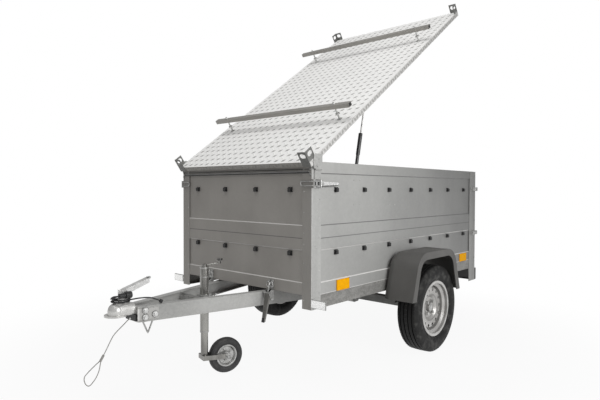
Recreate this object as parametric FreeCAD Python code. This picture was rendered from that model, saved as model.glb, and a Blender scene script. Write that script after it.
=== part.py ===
import FreeCAD
import Part
import math
import os

# Utility trailer: a two-tier sheet steel bed with a tilting tread plate lid, on one axle.
# Row frame: +X forward to the coupling, +Y to the left, +Z up, the ground at zero.
# All lengths in millimetres.

Vec = FreeCAD.Vector

# Bed
box_length = 2074.0
box_width = 1132.0
rail_bottom_height = 415.0
rail_height = 72.0
rail_width = 40.0
lower_wall_height = 303.0
upper_wall_height = 410.0
wall_thickness = 22.0
wall_bead_depth = 4.0
bead_slope = 6.0
lower_wall_bottom_band = 63.0
lower_wall_top_band = 60.0
upper_wall_bottom_band = 68.0
upper_wall_top_band = 58.0
floor_thickness = 12.0
cross_member_width = 45.0
cross_member_height = 60.0
sheet = 3.0
moving_gap = 5.5
seat_gap = 0.3
running_clearance = 0.05
overrun = 10.0

# Corner posts
front_post_side_width = 77.0
front_post_face_width = 65.0
rear_post_side_width = 110.0
rear_post_bottom_height = 312.0

# Wheels and axle
wheel_radius = 281.0
tyre_width = 145.0
wheel_behind_front = 1028.0
tyre_beyond_side = 200.0
tyre_side_shares = [(0.45, 0.08), (0.9, 0.3), (1.0, 0.45), (0.85, 0.68), (0.5, 0.86), (0.1, 0.95)]
tyre_tread_shares = [(0.72, 0.993), (0.35, 1.0)]
tyre_hollow_shares = [(0.86, 0.35), (0.76, 0.8)]
tyre_bead_share = 0.8
rim_lip_radius = 179.0
rim_seat_radius = 165.0
rim_well_radius = 148.0
rim_thickness = 4.0
rim_half_width = 58.0
rim_bead_width = 16.0
rim_well_slope = 12.0
disc_outboard = 24.0
disc_dish = 16.0
vent_count = 14
vent_radius = 10.5
vent_circle_radius = 118.0
hub_radius = 34.0
hub_length = 62.0
spindle_radius = 17.0
cap_radius = 27.0
cap_length = 16.0
axle_size = 50.0
axle_ahead_of_wheel = 131.0
axle_above_wheel = 38.0
arm_thickness = 26.0
arm_radius = 36.0
axle_pad_length = 120.0

# Mudguards
guard_reach = 220.0
guard_bottom_half = 321.0
guard_top_half = 237.0
guard_behind_front = 993.5
guard_bottom_height = 375.0
guard_top_height = 662.0
guard_bend_radius = 130.0
guard_wall_radius = 60.0
guard_lip = 44.0
guard_sheet = 5.0

# Tail
carrier_height = 95.0
carrier_depth = 24.0
lamp_width = 185.0
lamp_height = 92.0
lamp_depth = 34.0
reflector_thickness = 5.0
amber_width = 116.0
amber_height = 60.0
amber_front_centre = 275.0
amber_rear_inset = 226.0
amber_rear_centre = box_length - amber_rear_inset
white_bracket_reach = 99.0
white_bracket_height = 45.0
white_bracket_bottom = 430.0
white_bracket_leg = 40.0

# Tarpaulin hooks
hook_width = 20.0
hook_height = 24.0
hook_base = 4.0
hook_reach = 15.0
hook_arm = 6.0
side_hook_first = 214.0
side_hook_pitch = 273.1
side_hook_rear_space = 120.0
side_hook_count = 1 + int((box_length - side_hook_first - side_hook_rear_space) / side_hook_pitch)
front_hook_count = 4
front_hook_pitch = 272.4
upper_hook_height = 1052.0
lower_hook_height = 706.0

# Lid
lid_hinge_behind_front = 45.0
lid_hinge_above_rim = 12.0
lid_front_reach = 69.0
lid_rear_reach = 2034.0
lid_top_over_hinge = 27.0
lid_sheet_thickness = 2.5
lid_flange_depth = 30.0
lid_side_clearance = 5.5
lid_open_angle = 35.3
tab_width = 54.0
tab_thickness = 4.0
tab_rise = 30.0
tab_foot_height = 92.0
tab_step_drop = 52.0
tab_step_run = 10.0
hinge_pin_radius = 5.0
bracket_leg = 56.0
bracket_rise = 62.0
bracket_sheet = 3.0
bracket_hole_radius = 13.5
bracket_hole_share = 0.6
bracket_hole_straight = 12.0

# Roof bars
bar_width = 30.0
bar_height = 25.0
bar_half_length = 585.0
bar_lift = 72.0
front_bar_from_hinge = 400.0
rear_bar_from_hinge = 1530.0
bar_post_offset = 475.0
bar_post_radius = 5.0
bar_nut_radius = 13.0
bar_nut_height = 8.0
bar_nut_share = 0.45

# Gas struts
strut_foot_behind_front = 400.0
strut_foot_height = 900.0
strut_eye_from_hinge = 616.0
strut_eye_above_hinge = 5.0
strut_wall_distance = 22.0
cylinder_radius = 10.0
cylinder_wall = 2.0
cylinder_length = 390.0
rod_radius = 4.0
rod_length = 352.0
strut_stud_radius = 5.0
strut_eye_radius = 9.0
strut_eye_thickness = 10.0
lug_width = 44.0
lug_foot = 28.0
lug_drop = 32.0
strut_plate_width = 105.0
strut_plate_above = 240.0
strut_plate_below = 35.0

# Drawbar
beam_width = 40.0
beam_height = 78.0
beam_wall = 3.0
beam_bottom_height = 397.0
beam_front_reach = 700.0
beam_front_offset = 36.0
beam_rear_behind_front = 640.0
beam_rear_offset = 380.0
cross_bar_ahead = 305.0
cross_bar_size = 30.0
drawbar_pivot_behind_front = 620.0
drawbar_pivot_height = 362.0
pivot_pin_radius = 8.0
pivot_plate_thickness = 6.0
pivot_plate_radius = 40.0
pivot_plate_gap = 32.0
pivot_lug_radius = 26.0
nose_plate_thickness = 6.0

# Coupling
socket_ahead_of_beams = 95.0
coupling_lip_radius = 54.0
ball_radius = 25.0
ball_clearance = 0.3
socket_centre_height = 462.0
coupling_lip_height = 437.0
coupling_lip_thickness = 7.0
coupling_dome_radius = 38.0
coupling_tongue_width = 58.0
coupling_tongue_height = 50.0
coupling_tongue_rise_share = 0.6
coupling_shoulder_rise_share = 0.7
coupling_cheek_length = 105.0
coupling_cheek_height = 56.0
coupling_cheek_thickness = 5.0
handle_width = 34.0
handle_thickness = 11.0
handle_root_height = 550.0
handle_tip_reach = 621.0
handle_tip_height = 597.0
handle_root_reach = 764.0
handle_foot_reach = 742.0

# Over-centre clamps between drawbar and bed
clamp_width = 34.0
clamp_body_height = 70.0
clamp_body_depth = 26.0
clamp_lever_length = 165.0
clamp_lever_width = 38.0
clamp_lever_tip = 20.0
clamp_lever_thickness = 7.0
clamp_strap_height = 58.0
clamp_side_offset = 15.0
clamp_ear_half = 12.0

# Jockey wheel
jockey_ahead = 262.0
jockey_top_height = 618.0
jockey_outer_radius = 24.0
jockey_tube_wall = 2.5
jockey_outer_bottom_height = 249.0
jockey_inner_radius = 20.5
jockey_bottom_height = 98.0
jockey_leg_top_height = 407.0
jockey_wheel_radius = 100.0
jockey_wheel_width = 50.0
jockey_rim_radius = 62.0
jockey_tyre_shares = [(0.7, 0.0), (1.0, 0.35), (1.0, 0.68), (0.75, 0.91), (0.3, 1.0)]
jockey_rim_shares = [(0.8, 1.0), (0.8, 0.88), (0.3, 0.75), (0.3, 0.45), (1.0, 0.3)]
jockey_trail = 128.0
jockey_swivel_angle = 16.0
jockey_arm_height = 26.0
jockey_arm_thickness = 5.0
jockey_arm_gap = 7.0
jockey_axle_radius = 8.0
crank_reach = 85.0
crank_radius = 4.0
crank_turn_angle = 150.0
crank_knob_radius = 17.0
crank_knob_height = 10.0
crank_stem_radius = 7.0
crank_stem_height = 14.0
crank_hub_radius = 15.0
crank_hub_height = 14.0
crank_angle_up = 8.0
clamp_ring_height = 52.0
clamp_ring_bottom = 412.0
clamp_ring_wall = 8.0
clamp_t_length = 70.0
clamp_t_radius = 5.0

# Latches on the bed
latch_height = 1084.0
rear_upper_latch_height = 1058.0
rear_lower_latch_height = 703.0
latch_body_length = 62.0
latch_body_height = 44.0
latch_body_depth = 14.0
latch_lever_length = 155.0
latch_lever_height = 15.0
latch_lever_thickness = 9.0
latch_strap_length = 70.0
latch_strap_height = 30.0
latch_strap_thickness = 4.0
rear_latch_length = 75.0
rear_latch_height = 30.0

keeper_width = 34.0
keeper_depth = 5.0
gate_pin_radius = 5.0

# Wire loop, safety cable and lead
wire_loop_radius = 3.0
wire_loop_reach = 650.0
wire_loop_half = 28.0
wire_loop_drop = 62.0
cable_radius = 2.5
cable_gland_radius = 6.5
cable_gland_length = 12.0
cable_exit_rise = 11.0
cable_heading_shares = (0.2286, -0.9735)
cable_route_points = [(8.0, 0.0), (26.0, 10.0), (46.0, 30.0), (87.0, 64.0), (129.0, 102.0),
                      (157.0, 146.0), (181.0, 186.0), (203.0, 218.0)]
ferrule_radius = 6.5
ferrule_length = 42.0
ferrule_bite = 3.0
loop_lean_angle = 43.0
loop_route_points = [(0.0, 3.0), (45.0, 6.0), (95.0, 9.0), (140.0, 9.0), (165.0, 8.0), (182.0, -9.0),
                     (182.0, -33.0), (165.0, -50.0), (130.0, -50.0), (90.0, -46.0), (50.0, -34.0),
                     (22.0, -18.0), (0.0, -3.0)]
cord_reach_share = 0.45
lead_radius = 3.5
lead_coil_radius = 42.0
lead_coil_section = 11.0
lead_coil_reach = 768.0
lead_exit_reach = 590.0
lead_route_points = [(0.0, 0.0, 14.0), (24.0, -4.0, 27.0), (50.0, -12.0, 36.0), (80.0, -24.0, 38.0),
                     (108.0, -40.0, 38.0), (128.0, -56.0, 38.5)]
plug_radius = 17.0
plug_length = 62.0
plug_reach = 738.0
plug_offset = 42.0
plug_neck_share = 0.7
grommet_radius = 9.0
grommet_length = 12.0

# Places worked out from the sizes above
half_width = box_width / 2
socket_centre_reach = beam_front_reach + socket_ahead_of_beams
coupling_reach = socket_centre_reach + coupling_lip_radius
front_x = (box_length + lamp_depth - coupling_reach) / 2
rear_x = front_x - box_length
wall_bottom_z = rail_bottom_height + rail_height
split_z = wall_bottom_z + lower_wall_height
top_z = split_z + upper_wall_height
lid_hinge_height = top_z + lid_hinge_above_rim
wall_outer_y = half_width - sheet
wall_inner_y = wall_outer_y - wall_thickness
field_y = wall_outer_y - wall_bead_depth
wall_front_x = front_x - sheet
wall_inner_x = wall_front_x - wall_thickness
gate_front_x = rear_x + wall_thickness
wall_rear_x = gate_front_x + moving_gap
wheel_x = front_x - wheel_behind_front
wheel_z = wheel_radius
wheel_y = half_width + tyre_beyond_side - tyre_width / 2


def block(x_a, x_b, y_a, y_b, z_a, z_b):
    """A box between two corners."""
    low = Vec(min(x_a, x_b), min(y_a, y_b), min(z_a, z_b))
    return Part.makeBox(abs(x_b - x_a), abs(y_b - y_a), abs(z_b - z_a), low)


def rod(start, end, radius):
    """A round bar between two points."""
    run = end - start
    return Part.makeCylinder(radius, run.Length, start, run)


def pipe(start, end, outer, inner):
    """A round tube between two points."""
    run = end - start
    longer = run * (1 + overrun / run.Length)
    back = start - run * (overrun / run.Length)
    return rod(start, end, outer).cut(rod(back, start + longer, inner))


def prism(points, run):
    """An outline pushed along a vector."""
    wire = Part.makePolygon(list(points) + [points[0]])
    return Part.Face(wire).extrude(run)


def side_prism(outline, y_a, y_b):
    """An outline in X and Z, pushed from one side plane to another."""
    return prism([Vec(x, y_a, z) for x, z in outline], Vec(0, y_b - y_a, 0))


def end_prism(outline, x_a, x_b):
    """An outline in Y and Z, pushed along X."""
    return prism([Vec(x_a, y, z) for y, z in outline], Vec(x_b - x_a, 0, 0))


def joined(shapes):
    """The pieces fused to one solid."""
    first, rest = shapes[0], shapes[1:]
    if not rest:
        return first
    return first.fuse(rest).removeSplitter()


def mirrored(shape):
    """The same piece on the other side."""
    return shape.mirror(Vec(0, 0, 0), Vec(0, 1, 0))


def both_sides(shape):
    """A piece and its mirror image."""
    return [shape, mirrored(shape)]


def turned(shape, centre, axis, angle):
    """A copy turned about an axis through a point."""
    copy = shape.copy()
    copy.rotate(centre, axis, angle)
    return copy


def save(node, shapes):
    """Write one node, as one solid or as several that don't touch."""
    body = shapes[0] if len(shapes) == 1 else Part.makeCompound(shapes)
    body.exportStep("parts/" + node + ".step")


def wall_outline(bottom, height, bottom_band, top_band, outer, inner):
    """The section of a folded wall: two raised bands with a set-back field between."""
    top = bottom + height
    field = outer - wall_bead_depth
    return [
        (outer, bottom),
        (outer, bottom + bottom_band),
        (field, bottom + bottom_band + bead_slope),
        (field, top - top_band - bead_slope),
        (outer, top - top_band),
        (outer, top),
        (inner, top),
        (inner, bottom),
    ]


LOWER = (wall_bottom_z, lower_wall_height, lower_wall_bottom_band, lower_wall_top_band)
UPPER = (split_z, upper_wall_height, upper_wall_bottom_band, upper_wall_top_band)


def side_wall(tier):
    """One tier of the left wall."""
    outline = wall_outline(*tier, wall_outer_y, wall_inner_y)
    return end_prism(outline, wall_front_x, wall_rear_x)


def front_wall(tier):
    """One tier of the front wall, between the side walls."""
    outline = wall_outline(*tier, wall_front_x, wall_inner_x)
    return side_prism(outline, -wall_inner_y, wall_inner_y)


def hook_at(place, outward):
    """A tarpaulin hook on a wall, its lip down, seen from outside along one axis."""
    side = Vec(-outward.y, outward.x, 0)
    half = hook_height / 2
    outline = [
        (0, -half),
        (hook_base, -half),
        (hook_base, half - 2 * hook_arm),
        (hook_reach - hook_base, half - 2 * hook_arm),
        (hook_reach - hook_base, -half + hook_base),
        (hook_reach, -half + hook_base),
        (hook_reach, half - hook_arm),
        (hook_base, half),
        (0, half),
    ]
    start = place - side * (hook_width / 2)
    points = [start + outward * out + Vec(0, 0, up) for out, up in outline]
    return prism(points, side * hook_width)


def side_hook_places():
    """Distances behind the front of the hooks along a side."""
    return [side_hook_first + side_hook_pitch * index for index in range(side_hook_count)]


def across_hook_places():
    """Places across the bed of the hooks on the front and the tail."""
    middle = (front_hook_count - 1) / 2
    return [front_hook_pitch * (index - middle) for index in range(front_hook_count)]


def floor():
    """The floor board, inside the walls."""
    return block(wall_inner_x, wall_rear_x, -wall_inner_y, wall_inner_y,
                 wall_bottom_z, wall_bottom_z + floor_thickness)


def side_rail():
    """The folded channel under the left wall, open inwards."""
    outer, inner = wall_outer_y, wall_outer_y - rail_width
    low, high = rail_bottom_height, wall_bottom_z
    outline = [
        (outer, low), (outer, high), (inner, high), (inner, high - sheet),
        (outer - sheet, high - sheet), (outer - sheet, low + sheet),
        (inner, low + sheet), (inner, low),
    ]
    return end_prism(outline, wall_front_x, wall_rear_x)


def cross_member(centre_x):
    """A folded channel across the bed under the floor, open to the front."""
    back, front = centre_x - cross_member_width / 2, centre_x + cross_member_width / 2
    high, low = wall_bottom_z, wall_bottom_z - cross_member_height
    outline = [
        (back, low), (front, low), (front, low + sheet), (back + sheet, low + sheet),
        (back + sheet, high - sheet), (front, high - sheet), (front, high), (back, high),
    ]
    reach = wall_outer_y - rail_width
    return side_prism(outline, -reach, reach)


pivot_x = front_x - drawbar_pivot_behind_front
hinge_member_x = pivot_x - pivot_plate_radius - cross_member_width / 2
axle_x = wheel_x + axle_ahead_of_wheel
axle_z = wheel_z + axle_above_wheel
tail_member_x = wall_rear_x + cross_member_width / 2
middle_member_x = (hinge_member_x + tail_member_x) / 2


def front_post():
    """The left front corner angle, outside the walls and the rail."""
    high, low = top_z, rail_bottom_height
    side = block(front_x, front_x - front_post_side_width, wall_outer_y, half_width, low, high)
    face = block(wall_front_x, front_x, half_width - front_post_face_width, half_width, low, high)
    return joined([side, face])


def rear_post():
    """The left rear post, a flat outside the wall's end that runs down to the lamp carrier."""
    return block(rear_x, rear_x + rear_post_side_width, wall_outer_y, half_width,
                 rear_post_bottom_height, top_z)


def axle_arm():
    """The left swing arm of the axle, with its spindle."""
    inner_y, outer_y = arm_inner_y, arm_inner_y + arm_thickness
    at_axle, at_wheel = Vec(axle_x, inner_y, axle_z), Vec(wheel_x, inner_y, wheel_z)
    run = Vec(0, arm_thickness, 0)
    along = at_wheel - at_axle
    normal = Vec(along.z, 0, -along.x) * (arm_radius / along.Length)
    web = prism([at_axle + normal, at_wheel + normal, at_wheel - normal, at_axle - normal], run)
    ends = [rod(at_axle, at_axle + run, arm_radius), rod(at_wheel, at_wheel + run, arm_radius)]
    spindle = rod(Vec(wheel_x, outer_y, wheel_z), Vec(wheel_x, spindle_end_y, wheel_z), spindle_radius)
    return joined([web, *ends, spindle])


arm_inner_y = wheel_y - tyre_width / 2 - arm_thickness - 2 * moving_gap
hub_face_y = wheel_y + disc_outboard - disc_dish
spindle_end_y = hub_face_y + cap_length / 2


def axle_beam():
    """The square cross tube of the axle, with a pad under each rail."""
    half = axle_size / 2
    beam = block(axle_x - half, axle_x + half, -arm_inner_y, arm_inner_y, axle_z - half, axle_z + half)
    pad_inner = wall_outer_y - rail_width
    pads = [
        block(axle_x - axle_pad_length / 2, axle_x + axle_pad_length / 2, pad_inner, wall_outer_y,
              axle_z, rail_bottom_height)
    ]
    return joined([beam, *pads, *[mirrored(pad) for pad in pads]])


def rim():
    """The left wheel's pressed rim with its disc, vents and hub."""
    lip, seat, well, skin = rim_lip_radius, rim_seat_radius, rim_well_radius, rim_thickness
    half = rim_half_width
    bead, slope = rim_bead_width, rim_well_slope
    section = [
        (-half - skin, lip), (-half, lip), (-half, seat), (-half + bead, seat),
        (-half + bead + slope, well), (half - bead - slope, well), (half - bead, seat),
        (half, seat), (half, lip), (half + skin, lip),
        (half + skin, seat - skin), (half - bead + skin / 2, seat - skin),
        (half - bead - slope + skin / 2, well - skin), (-half + bead + slope - skin / 2, well - skin),
        (-half + bead - skin / 2, seat - skin), (-half - skin, seat - skin),
    ]
    barrel = spun(section)
    face, dish = disc_outboard, disc_outboard - disc_dish
    disc_section = [
        (dish, 0), (dish, hub_radius * 2), (face, hub_radius * 2 + bead), (face, well - skin - bead),
        (dish, well - skin), (dish - skin, well - skin), (dish - skin, well - skin - skin),
        (face - skin, well - skin - bead - skin), (face - skin, hub_radius * 2 + bead + skin),
        (dish - skin, hub_radius * 2 + skin), (dish - skin, 0),
    ]
    disc = spun(disc_section)
    centre = Vec(wheel_x, wheel_y, wheel_z)
    vents = []
    for index in range(vent_count):
        angle = math.radians(360 * index / vent_count)
        middle = centre + Vec(math.cos(angle), 0, math.sin(angle)) * vent_circle_radius
        vents.append(rod(middle, middle + Vec(0, face + overrun, 0), vent_radius))
    hub_end = Vec(wheel_x, hub_face_y, wheel_z)
    hub_start = hub_end - Vec(0, hub_length, 0)
    cap_end = hub_end + Vec(0, cap_length, 0)
    solid = joined([barrel, disc.cut(vents), rod(hub_start, hub_end, hub_radius),
                    rod(hub_end, cap_end, cap_radius)])
    bore_end = Vec(wheel_x, spindle_end_y + seat_gap, wheel_z)
    bore_start = hub_start - Vec(0, overrun, 0)
    return solid.cut(rod(bore_start, bore_end, spindle_radius + running_clearance))


def spun(section):
    """A closed outline of offset along the axle and radius, turned about the left wheel's axis."""
    points = [Vec(wheel_x, wheel_y + along, wheel_z + radius) for along, radius in section]
    face = Part.Face(Part.makePolygon(points + [points[0]]))
    return face.revolve(Vec(wheel_x, wheel_y, wheel_z), Vec(0, 1, 0), 360)


def tyre():
    """The left tyre, open inside where the rim's well is."""
    half, radius, seat = tyre_width / 2, wheel_radius, rim_seat_radius + seat_gap
    inner, lip = rim_half_width - seat_gap, rim_lip_radius + seat_gap
    wide, tall = half - rim_half_width, radius - lip
    outer = [(0, seat), (inner, seat), (inner, lip)]
    outer += [(rim_half_width + wide * across, lip + tall * up) for across, up in tyre_side_shares]
    outer += [(half * across, radius * out) for across, out in tyre_tread_shares]
    hollow = [(half * across, lip + tall * up) for across, up in tyre_hollow_shares]
    mouth = inner * tyre_bead_share
    section = outer[1:] + [(-across, out) for across, out in reversed(outer[1:])]
    section += [(-mouth, seat)] + [(-across, out) for across, out in hollow]
    section += list(reversed(hollow)) + [(mouth, seat)]
    return spun(section)


guard_x = front_x - guard_behind_front


def guard_outline(inset):
    """The mudguard's arch seen from the side, moved inwards, as a closed face at the wall."""
    slope = (guard_bottom_half - guard_top_half) / (guard_top_height - guard_bottom_height)
    lean = math.hypot(1, slope)
    top = guard_top_height - inset
    low = guard_bottom_height - (overrun if inset else 0)
    half_top = guard_top_half - inset * (lean - slope)
    half_low = half_top + (top - low) * slope
    return [
        (guard_x + half_low, low), (guard_x + half_top, top),
        (guard_x - half_top, top), (guard_x - half_low, low),
    ]


def arch(inset, y_a, y_b):
    """The mudguard's arch as a solid with its upper bends rounded."""
    solid = side_prism(guard_outline(inset), y_a, y_b)
    top = guard_top_height - inset
    bends = []
    for edge in solid.Edges:
        ends = [vertex.Point for vertex in edge.Vertexes]
        if all(abs(point.z - top) < seat_gap for point in ends):
            if abs(ends[0].x - ends[1].x) < seat_gap:
                bends.append(edge)
    return solid.makeFillet(guard_bend_radius - inset, bends)


def rolled_arch(inset, wall_y, outer_y):
    """The arch as a solid, rounded over towards the wall as well."""
    solid = arch(inset, wall_y, outer_y)
    rim = []
    for edge in solid.Edges:
        at_wall = all(abs(vertex.Point.y - wall_y) < seat_gap for vertex in edge.Vertexes)
        if at_wall and edge.BoundBox.ZMax > guard_bottom_height + seat_gap:
            rim.append(edge)
    return solid.makeFillet(guard_wall_radius - inset, rim)


def mudguard():
    """The left mudguard: a moulded shell over the wheel with a back plate and an outer lip."""
    inner_y, outer_y = wall_outer_y + seat_gap, half_width + guard_reach
    room = rolled_arch(guard_sheet, inner_y + guard_sheet, outer_y - guard_sheet)
    mouth = arch(guard_lip, outer_y - 2 * guard_sheet, outer_y + overrun)
    return rolled_arch(0, inner_y, outer_y).cut([room, mouth])


def light_carrier():
    """The channel across the tail that carries the lamps."""
    back, front = rear_x, rear_x + carrier_depth
    low, high = rear_post_bottom_height, rear_post_bottom_height + carrier_height
    outline = [
        (back, low), (front, low), (front, low + sheet), (back + sheet, low + sheet),
        (back + sheet, high - sheet), (front, high - sheet), (front, high), (back, high),
    ]
    channel = side_prism(outline, -wall_outer_y, wall_outer_y)
    hanger_inner = wall_outer_y - rail_width
    hanger = block(rear_x, rear_x + sheet, hanger_inner, wall_outer_y, high, wall_bottom_z - moving_gap)
    foot = block(rear_x, wall_rear_x, hanger_inner, wall_outer_y,
                 wall_bottom_z - moving_gap - sheet, wall_bottom_z - moving_gap)
    return joined([channel, hanger, foot, mirrored(hanger), mirrored(foot)])


def tail_lamp():
    """The left tail lamp, a block with rounded corners on the carrier."""
    outer = wall_outer_y
    middle = rear_post_bottom_height + carrier_height / 2
    body = block(rear_x - lamp_depth, rear_x, outer - lamp_width, outer,
                 middle - lamp_height / 2, middle + lamp_height / 2)
    rear_edges = [edge for edge in body.Edges
                  if all(vertex.Point.x < rear_x - lamp_depth / 2 for vertex in edge.Vertexes)]
    return body.makeFillet(lamp_depth / 4, rear_edges)


def amber_reflectors():
    """The four amber side reflectors on the lower bands."""
    places = []
    low = wall_bottom_z + (lower_wall_bottom_band - amber_height) / 2
    for behind in (amber_front_centre, amber_rear_centre):
        middle = front_x - behind
        places += both_sides(block(middle - amber_width / 2, middle + amber_width / 2, wall_outer_y,
                                   wall_outer_y + reflector_thickness, low, low + amber_height))
    return places


def white_bracket():
    """The left front reflector's bracket, an angle on the corner post."""
    low, high = white_bracket_bottom, white_bracket_bottom + white_bracket_height
    arm = block(front_x - sheet, front_x, half_width, half_width + white_bracket_reach, low, high)
    leg = block(front_x - white_bracket_leg, front_x, half_width, half_width + sheet, low, high)
    return joined([arm, leg])


def white_reflector():
    """The left front reflector on its bracket."""
    low, high = white_bracket_bottom, white_bracket_bottom + white_bracket_height
    return block(front_x, front_x + reflector_thickness, half_width + sheet,
                 half_width + white_bracket_reach - sheet, low + sheet, high - sheet)


def hinge_plate():
    """The left lid hinge: a stepped plate on the corner post with its pin through the lid."""
    inner = half_width + lid_side_clearance + lid_sheet_thickness + 2 * seat_gap
    foot_z, step_z = top_z - tab_foot_height, lid_hinge_height - tab_step_drop
    thick = tab_thickness
    outline = [
        (half_width, foot_z), (half_width + thick, foot_z),
        (half_width + thick, step_z - tab_step_run), (inner + thick, step_z),
        (inner + thick, lid_hinge_height + tab_rise), (inner, lid_hinge_height + tab_rise),
        (inner, step_z + thick / 2), (half_width, step_z - tab_step_run + thick / 2),
    ]
    hinge_x = front_x - lid_hinge_behind_front
    tab = end_prism(outline, hinge_x - tab_width / 2, hinge_x + tab_width / 2)
    flange_inner = half_width + lid_side_clearance
    pin = rod(Vec(hinge_x, flange_inner - thick, lid_hinge_height),
              Vec(hinge_x, inner + thick + thick / 2, lid_hinge_height), hinge_pin_radius)
    return joined([tab, pin])


hinge_x = front_x - lid_hinge_behind_front
hinge_point = Vec(hinge_x, 0, lid_hinge_height)
lid_half_width = half_width + lid_side_clearance + lid_sheet_thickness


def opened(shape):
    """A lid piece, made closed, turned to its open place."""
    return turned(shape, hinge_point, Vec(0, 1, 0), lid_open_angle)


def lid_block(from_hinge_a, from_hinge_b, y_a, y_b, over_a, over_b):
    """A block on the closed lid, in distances behind the hinge and over it."""
    return block(hinge_x - from_hinge_a, hinge_x - from_hinge_b, y_a, y_b,
                 lid_hinge_height + over_a, lid_hinge_height + over_b)


def lid_tray():
    """The lid's sheet with its four turned-down flanges."""
    low, high = lid_top_over_hinge - lid_flange_depth, lid_top_over_hinge
    outer = lid_block(-lid_front_reach, lid_rear_reach, -lid_half_width, lid_half_width, low, high)
    skin = lid_sheet_thickness
    inner = lid_block(-lid_front_reach + skin, lid_rear_reach - skin, -lid_half_width + skin,
                      lid_half_width - skin, low - overrun, high - skin)
    reach = lid_half_width + overrun
    holes = rod(Vec(hinge_x, -reach, lid_hinge_height), Vec(hinge_x, reach, lid_hinge_height),
                hinge_pin_radius + running_clearance)
    return opened(outer.cut([inner, holes]))


def oval_cutter(middle, along, through):
    """A rounded slot through a plate."""
    half = along * (bracket_hole_straight / 2)
    up = along.cross(through)
    up = up * (bracket_hole_radius / up.Length)
    ends = [rod(middle - half - through, middle - half + through, bracket_hole_radius),
            rod(middle + half - through, middle + half + through, bracket_hole_radius)]
    slab = prism([middle - half - up - through, middle + half - up - through,
                  middle + half + up - through, middle - half + up - through], through * 2)
    return joined([slab, *ends])


def corner_bracket(edge_from_hinge, outward):
    """The left bracket at the front or rear of the lid, two legs with a slot each."""
    skin, top = bracket_sheet, lid_top_over_hinge
    inner_leg = edge_from_hinge - outward * bracket_leg
    outer_face = edge_from_hinge + outward * skin
    across = lid_block(edge_from_hinge, outer_face, lid_half_width - bracket_leg, lid_half_width,
                       0, top + bracket_rise)
    along = lid_block(inner_leg, outer_face, lid_half_width - skin, lid_half_width,
                      top, top + bracket_rise)
    hole_over = top + bracket_rise * bracket_hole_share
    middle_across = Vec(hinge_x - edge_from_hinge, lid_half_width - bracket_leg / 2,
                        lid_hinge_height + hole_over)
    middle_along = Vec(hinge_x - edge_from_hinge + outward * bracket_leg / 2, lid_half_width,
                       lid_hinge_height + hole_over)
    cutters = [oval_cutter(middle_across, Vec(0, 1, 0), Vec(overrun, 0, 0)),
               oval_cutter(middle_along, Vec(1, 0, 0), Vec(0, overrun, 0))]
    return joined([across, along]).cut(cutters)


def bar_post(from_hinge):
    """The left threaded post of one roof bar, with the nut and washer on it."""
    x, y = hinge_x - from_hinge, bar_post_offset
    base = lid_hinge_height + lid_top_over_hinge
    stem = rod(Vec(x, y, base), Vec(x, y, base + bar_lift), bar_post_radius)
    nut_z = base + bar_lift * bar_nut_share
    nut = rod(Vec(x, y, nut_z), Vec(x, y, nut_z + bar_nut_height), bar_nut_radius)
    foot = rod(Vec(x, y, base), Vec(x, y, base + bar_nut_height / 2), bar_nut_radius)
    return joined([stem, nut, foot])


def roof_bar(from_hinge):
    """One square tube across the lid on its posts."""
    low = lid_top_over_hinge + bar_lift
    ahead, behind = from_hinge - bar_width / 2, from_hinge + bar_width / 2
    outer = lid_block(ahead, behind, -bar_half_length, bar_half_length, low, low + bar_height)
    wall = lid_sheet_thickness
    inner = lid_block(ahead + wall, behind - wall, -bar_half_length - overrun,
                      bar_half_length + overrun, low + wall, low + bar_height - wall)
    return opened(outer.cut(inner))


strut_y = wall_inner_y - strut_wall_distance
foot_point = Vec(front_x - strut_foot_behind_front, strut_y, strut_foot_height)
eye_closed = Vec(hinge_x - strut_eye_from_hinge, strut_y, lid_hinge_height + strut_eye_above_hinge)
eye_turn = FreeCAD.Rotation(Vec(0, 1, 0), lid_open_angle)
eye_point = hinge_point + eye_turn.multVec(eye_closed - hinge_point)
strut_run = (eye_point - foot_point).normalize()


def strut_plate():
    """The left strut's plate inside the wall with its stud."""
    face = wall_inner_y - sheet
    plate = block(foot_point.x - strut_plate_width + strut_plate_below, foot_point.x + strut_plate_below,
                  face, wall_inner_y, foot_point.z - strut_plate_below, foot_point.z + strut_plate_above)
    stud = rod(Vec(foot_point.x, strut_y - strut_eye_thickness / 2 - sheet, foot_point.z),
               Vec(foot_point.x, face, foot_point.z), strut_stud_radius)
    return joined([plate, stud])


def strut_cylinder():
    """The left gas spring's cylinder, hollow for its rod, with its lower eye."""
    half = Vec(0, strut_eye_thickness / 2, 0)
    eye = rod(foot_point - half, foot_point + half, strut_eye_radius)
    start = foot_point + strut_run * (strut_eye_radius - cylinder_wall)
    end = foot_point + strut_run * cylinder_length
    shell = rod(start, end, cylinder_radius)
    room = rod(start + strut_run * (2 * strut_eye_radius), end + strut_run * overrun,
               rod_radius + running_clearance)
    hole = rod(foot_point - half * 2, foot_point + half * 2, strut_stud_radius + running_clearance)
    return joined([eye, shell]).cut([room, hole])


def strut_rod():
    """The left gas spring's rod with its upper eye and the stud that points at the lid's lug."""
    half = Vec(0, strut_eye_thickness / 2, 0)
    eye = rod(eye_point - half, eye_point + half, strut_eye_radius)
    stem = rod(eye_point - strut_run * rod_length, eye_point, rod_radius)
    stud = rod(eye_point, Vec(eye_point.x, lug_y - 2 * seat_gap, eye_point.z), strut_stud_radius)
    return joined([eye, stem, stud])


lug_y = strut_y + strut_wall_distance - moving_gap - sheet


def lid_lug():
    """The left angle under the lid that the strut's rod pushes on."""
    under = lid_top_over_hinge - lid_sheet_thickness
    half = lug_width / 2
    middle = strut_eye_from_hinge
    foot = lid_block(middle - half, middle + half, lug_y - lug_foot, lug_y + sheet, under - sheet, under)
    leaf = lid_block(middle - half, middle + half, lug_y, lug_y + sheet, under - lug_drop, under)
    return opened(joined([foot, leaf]))


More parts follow.
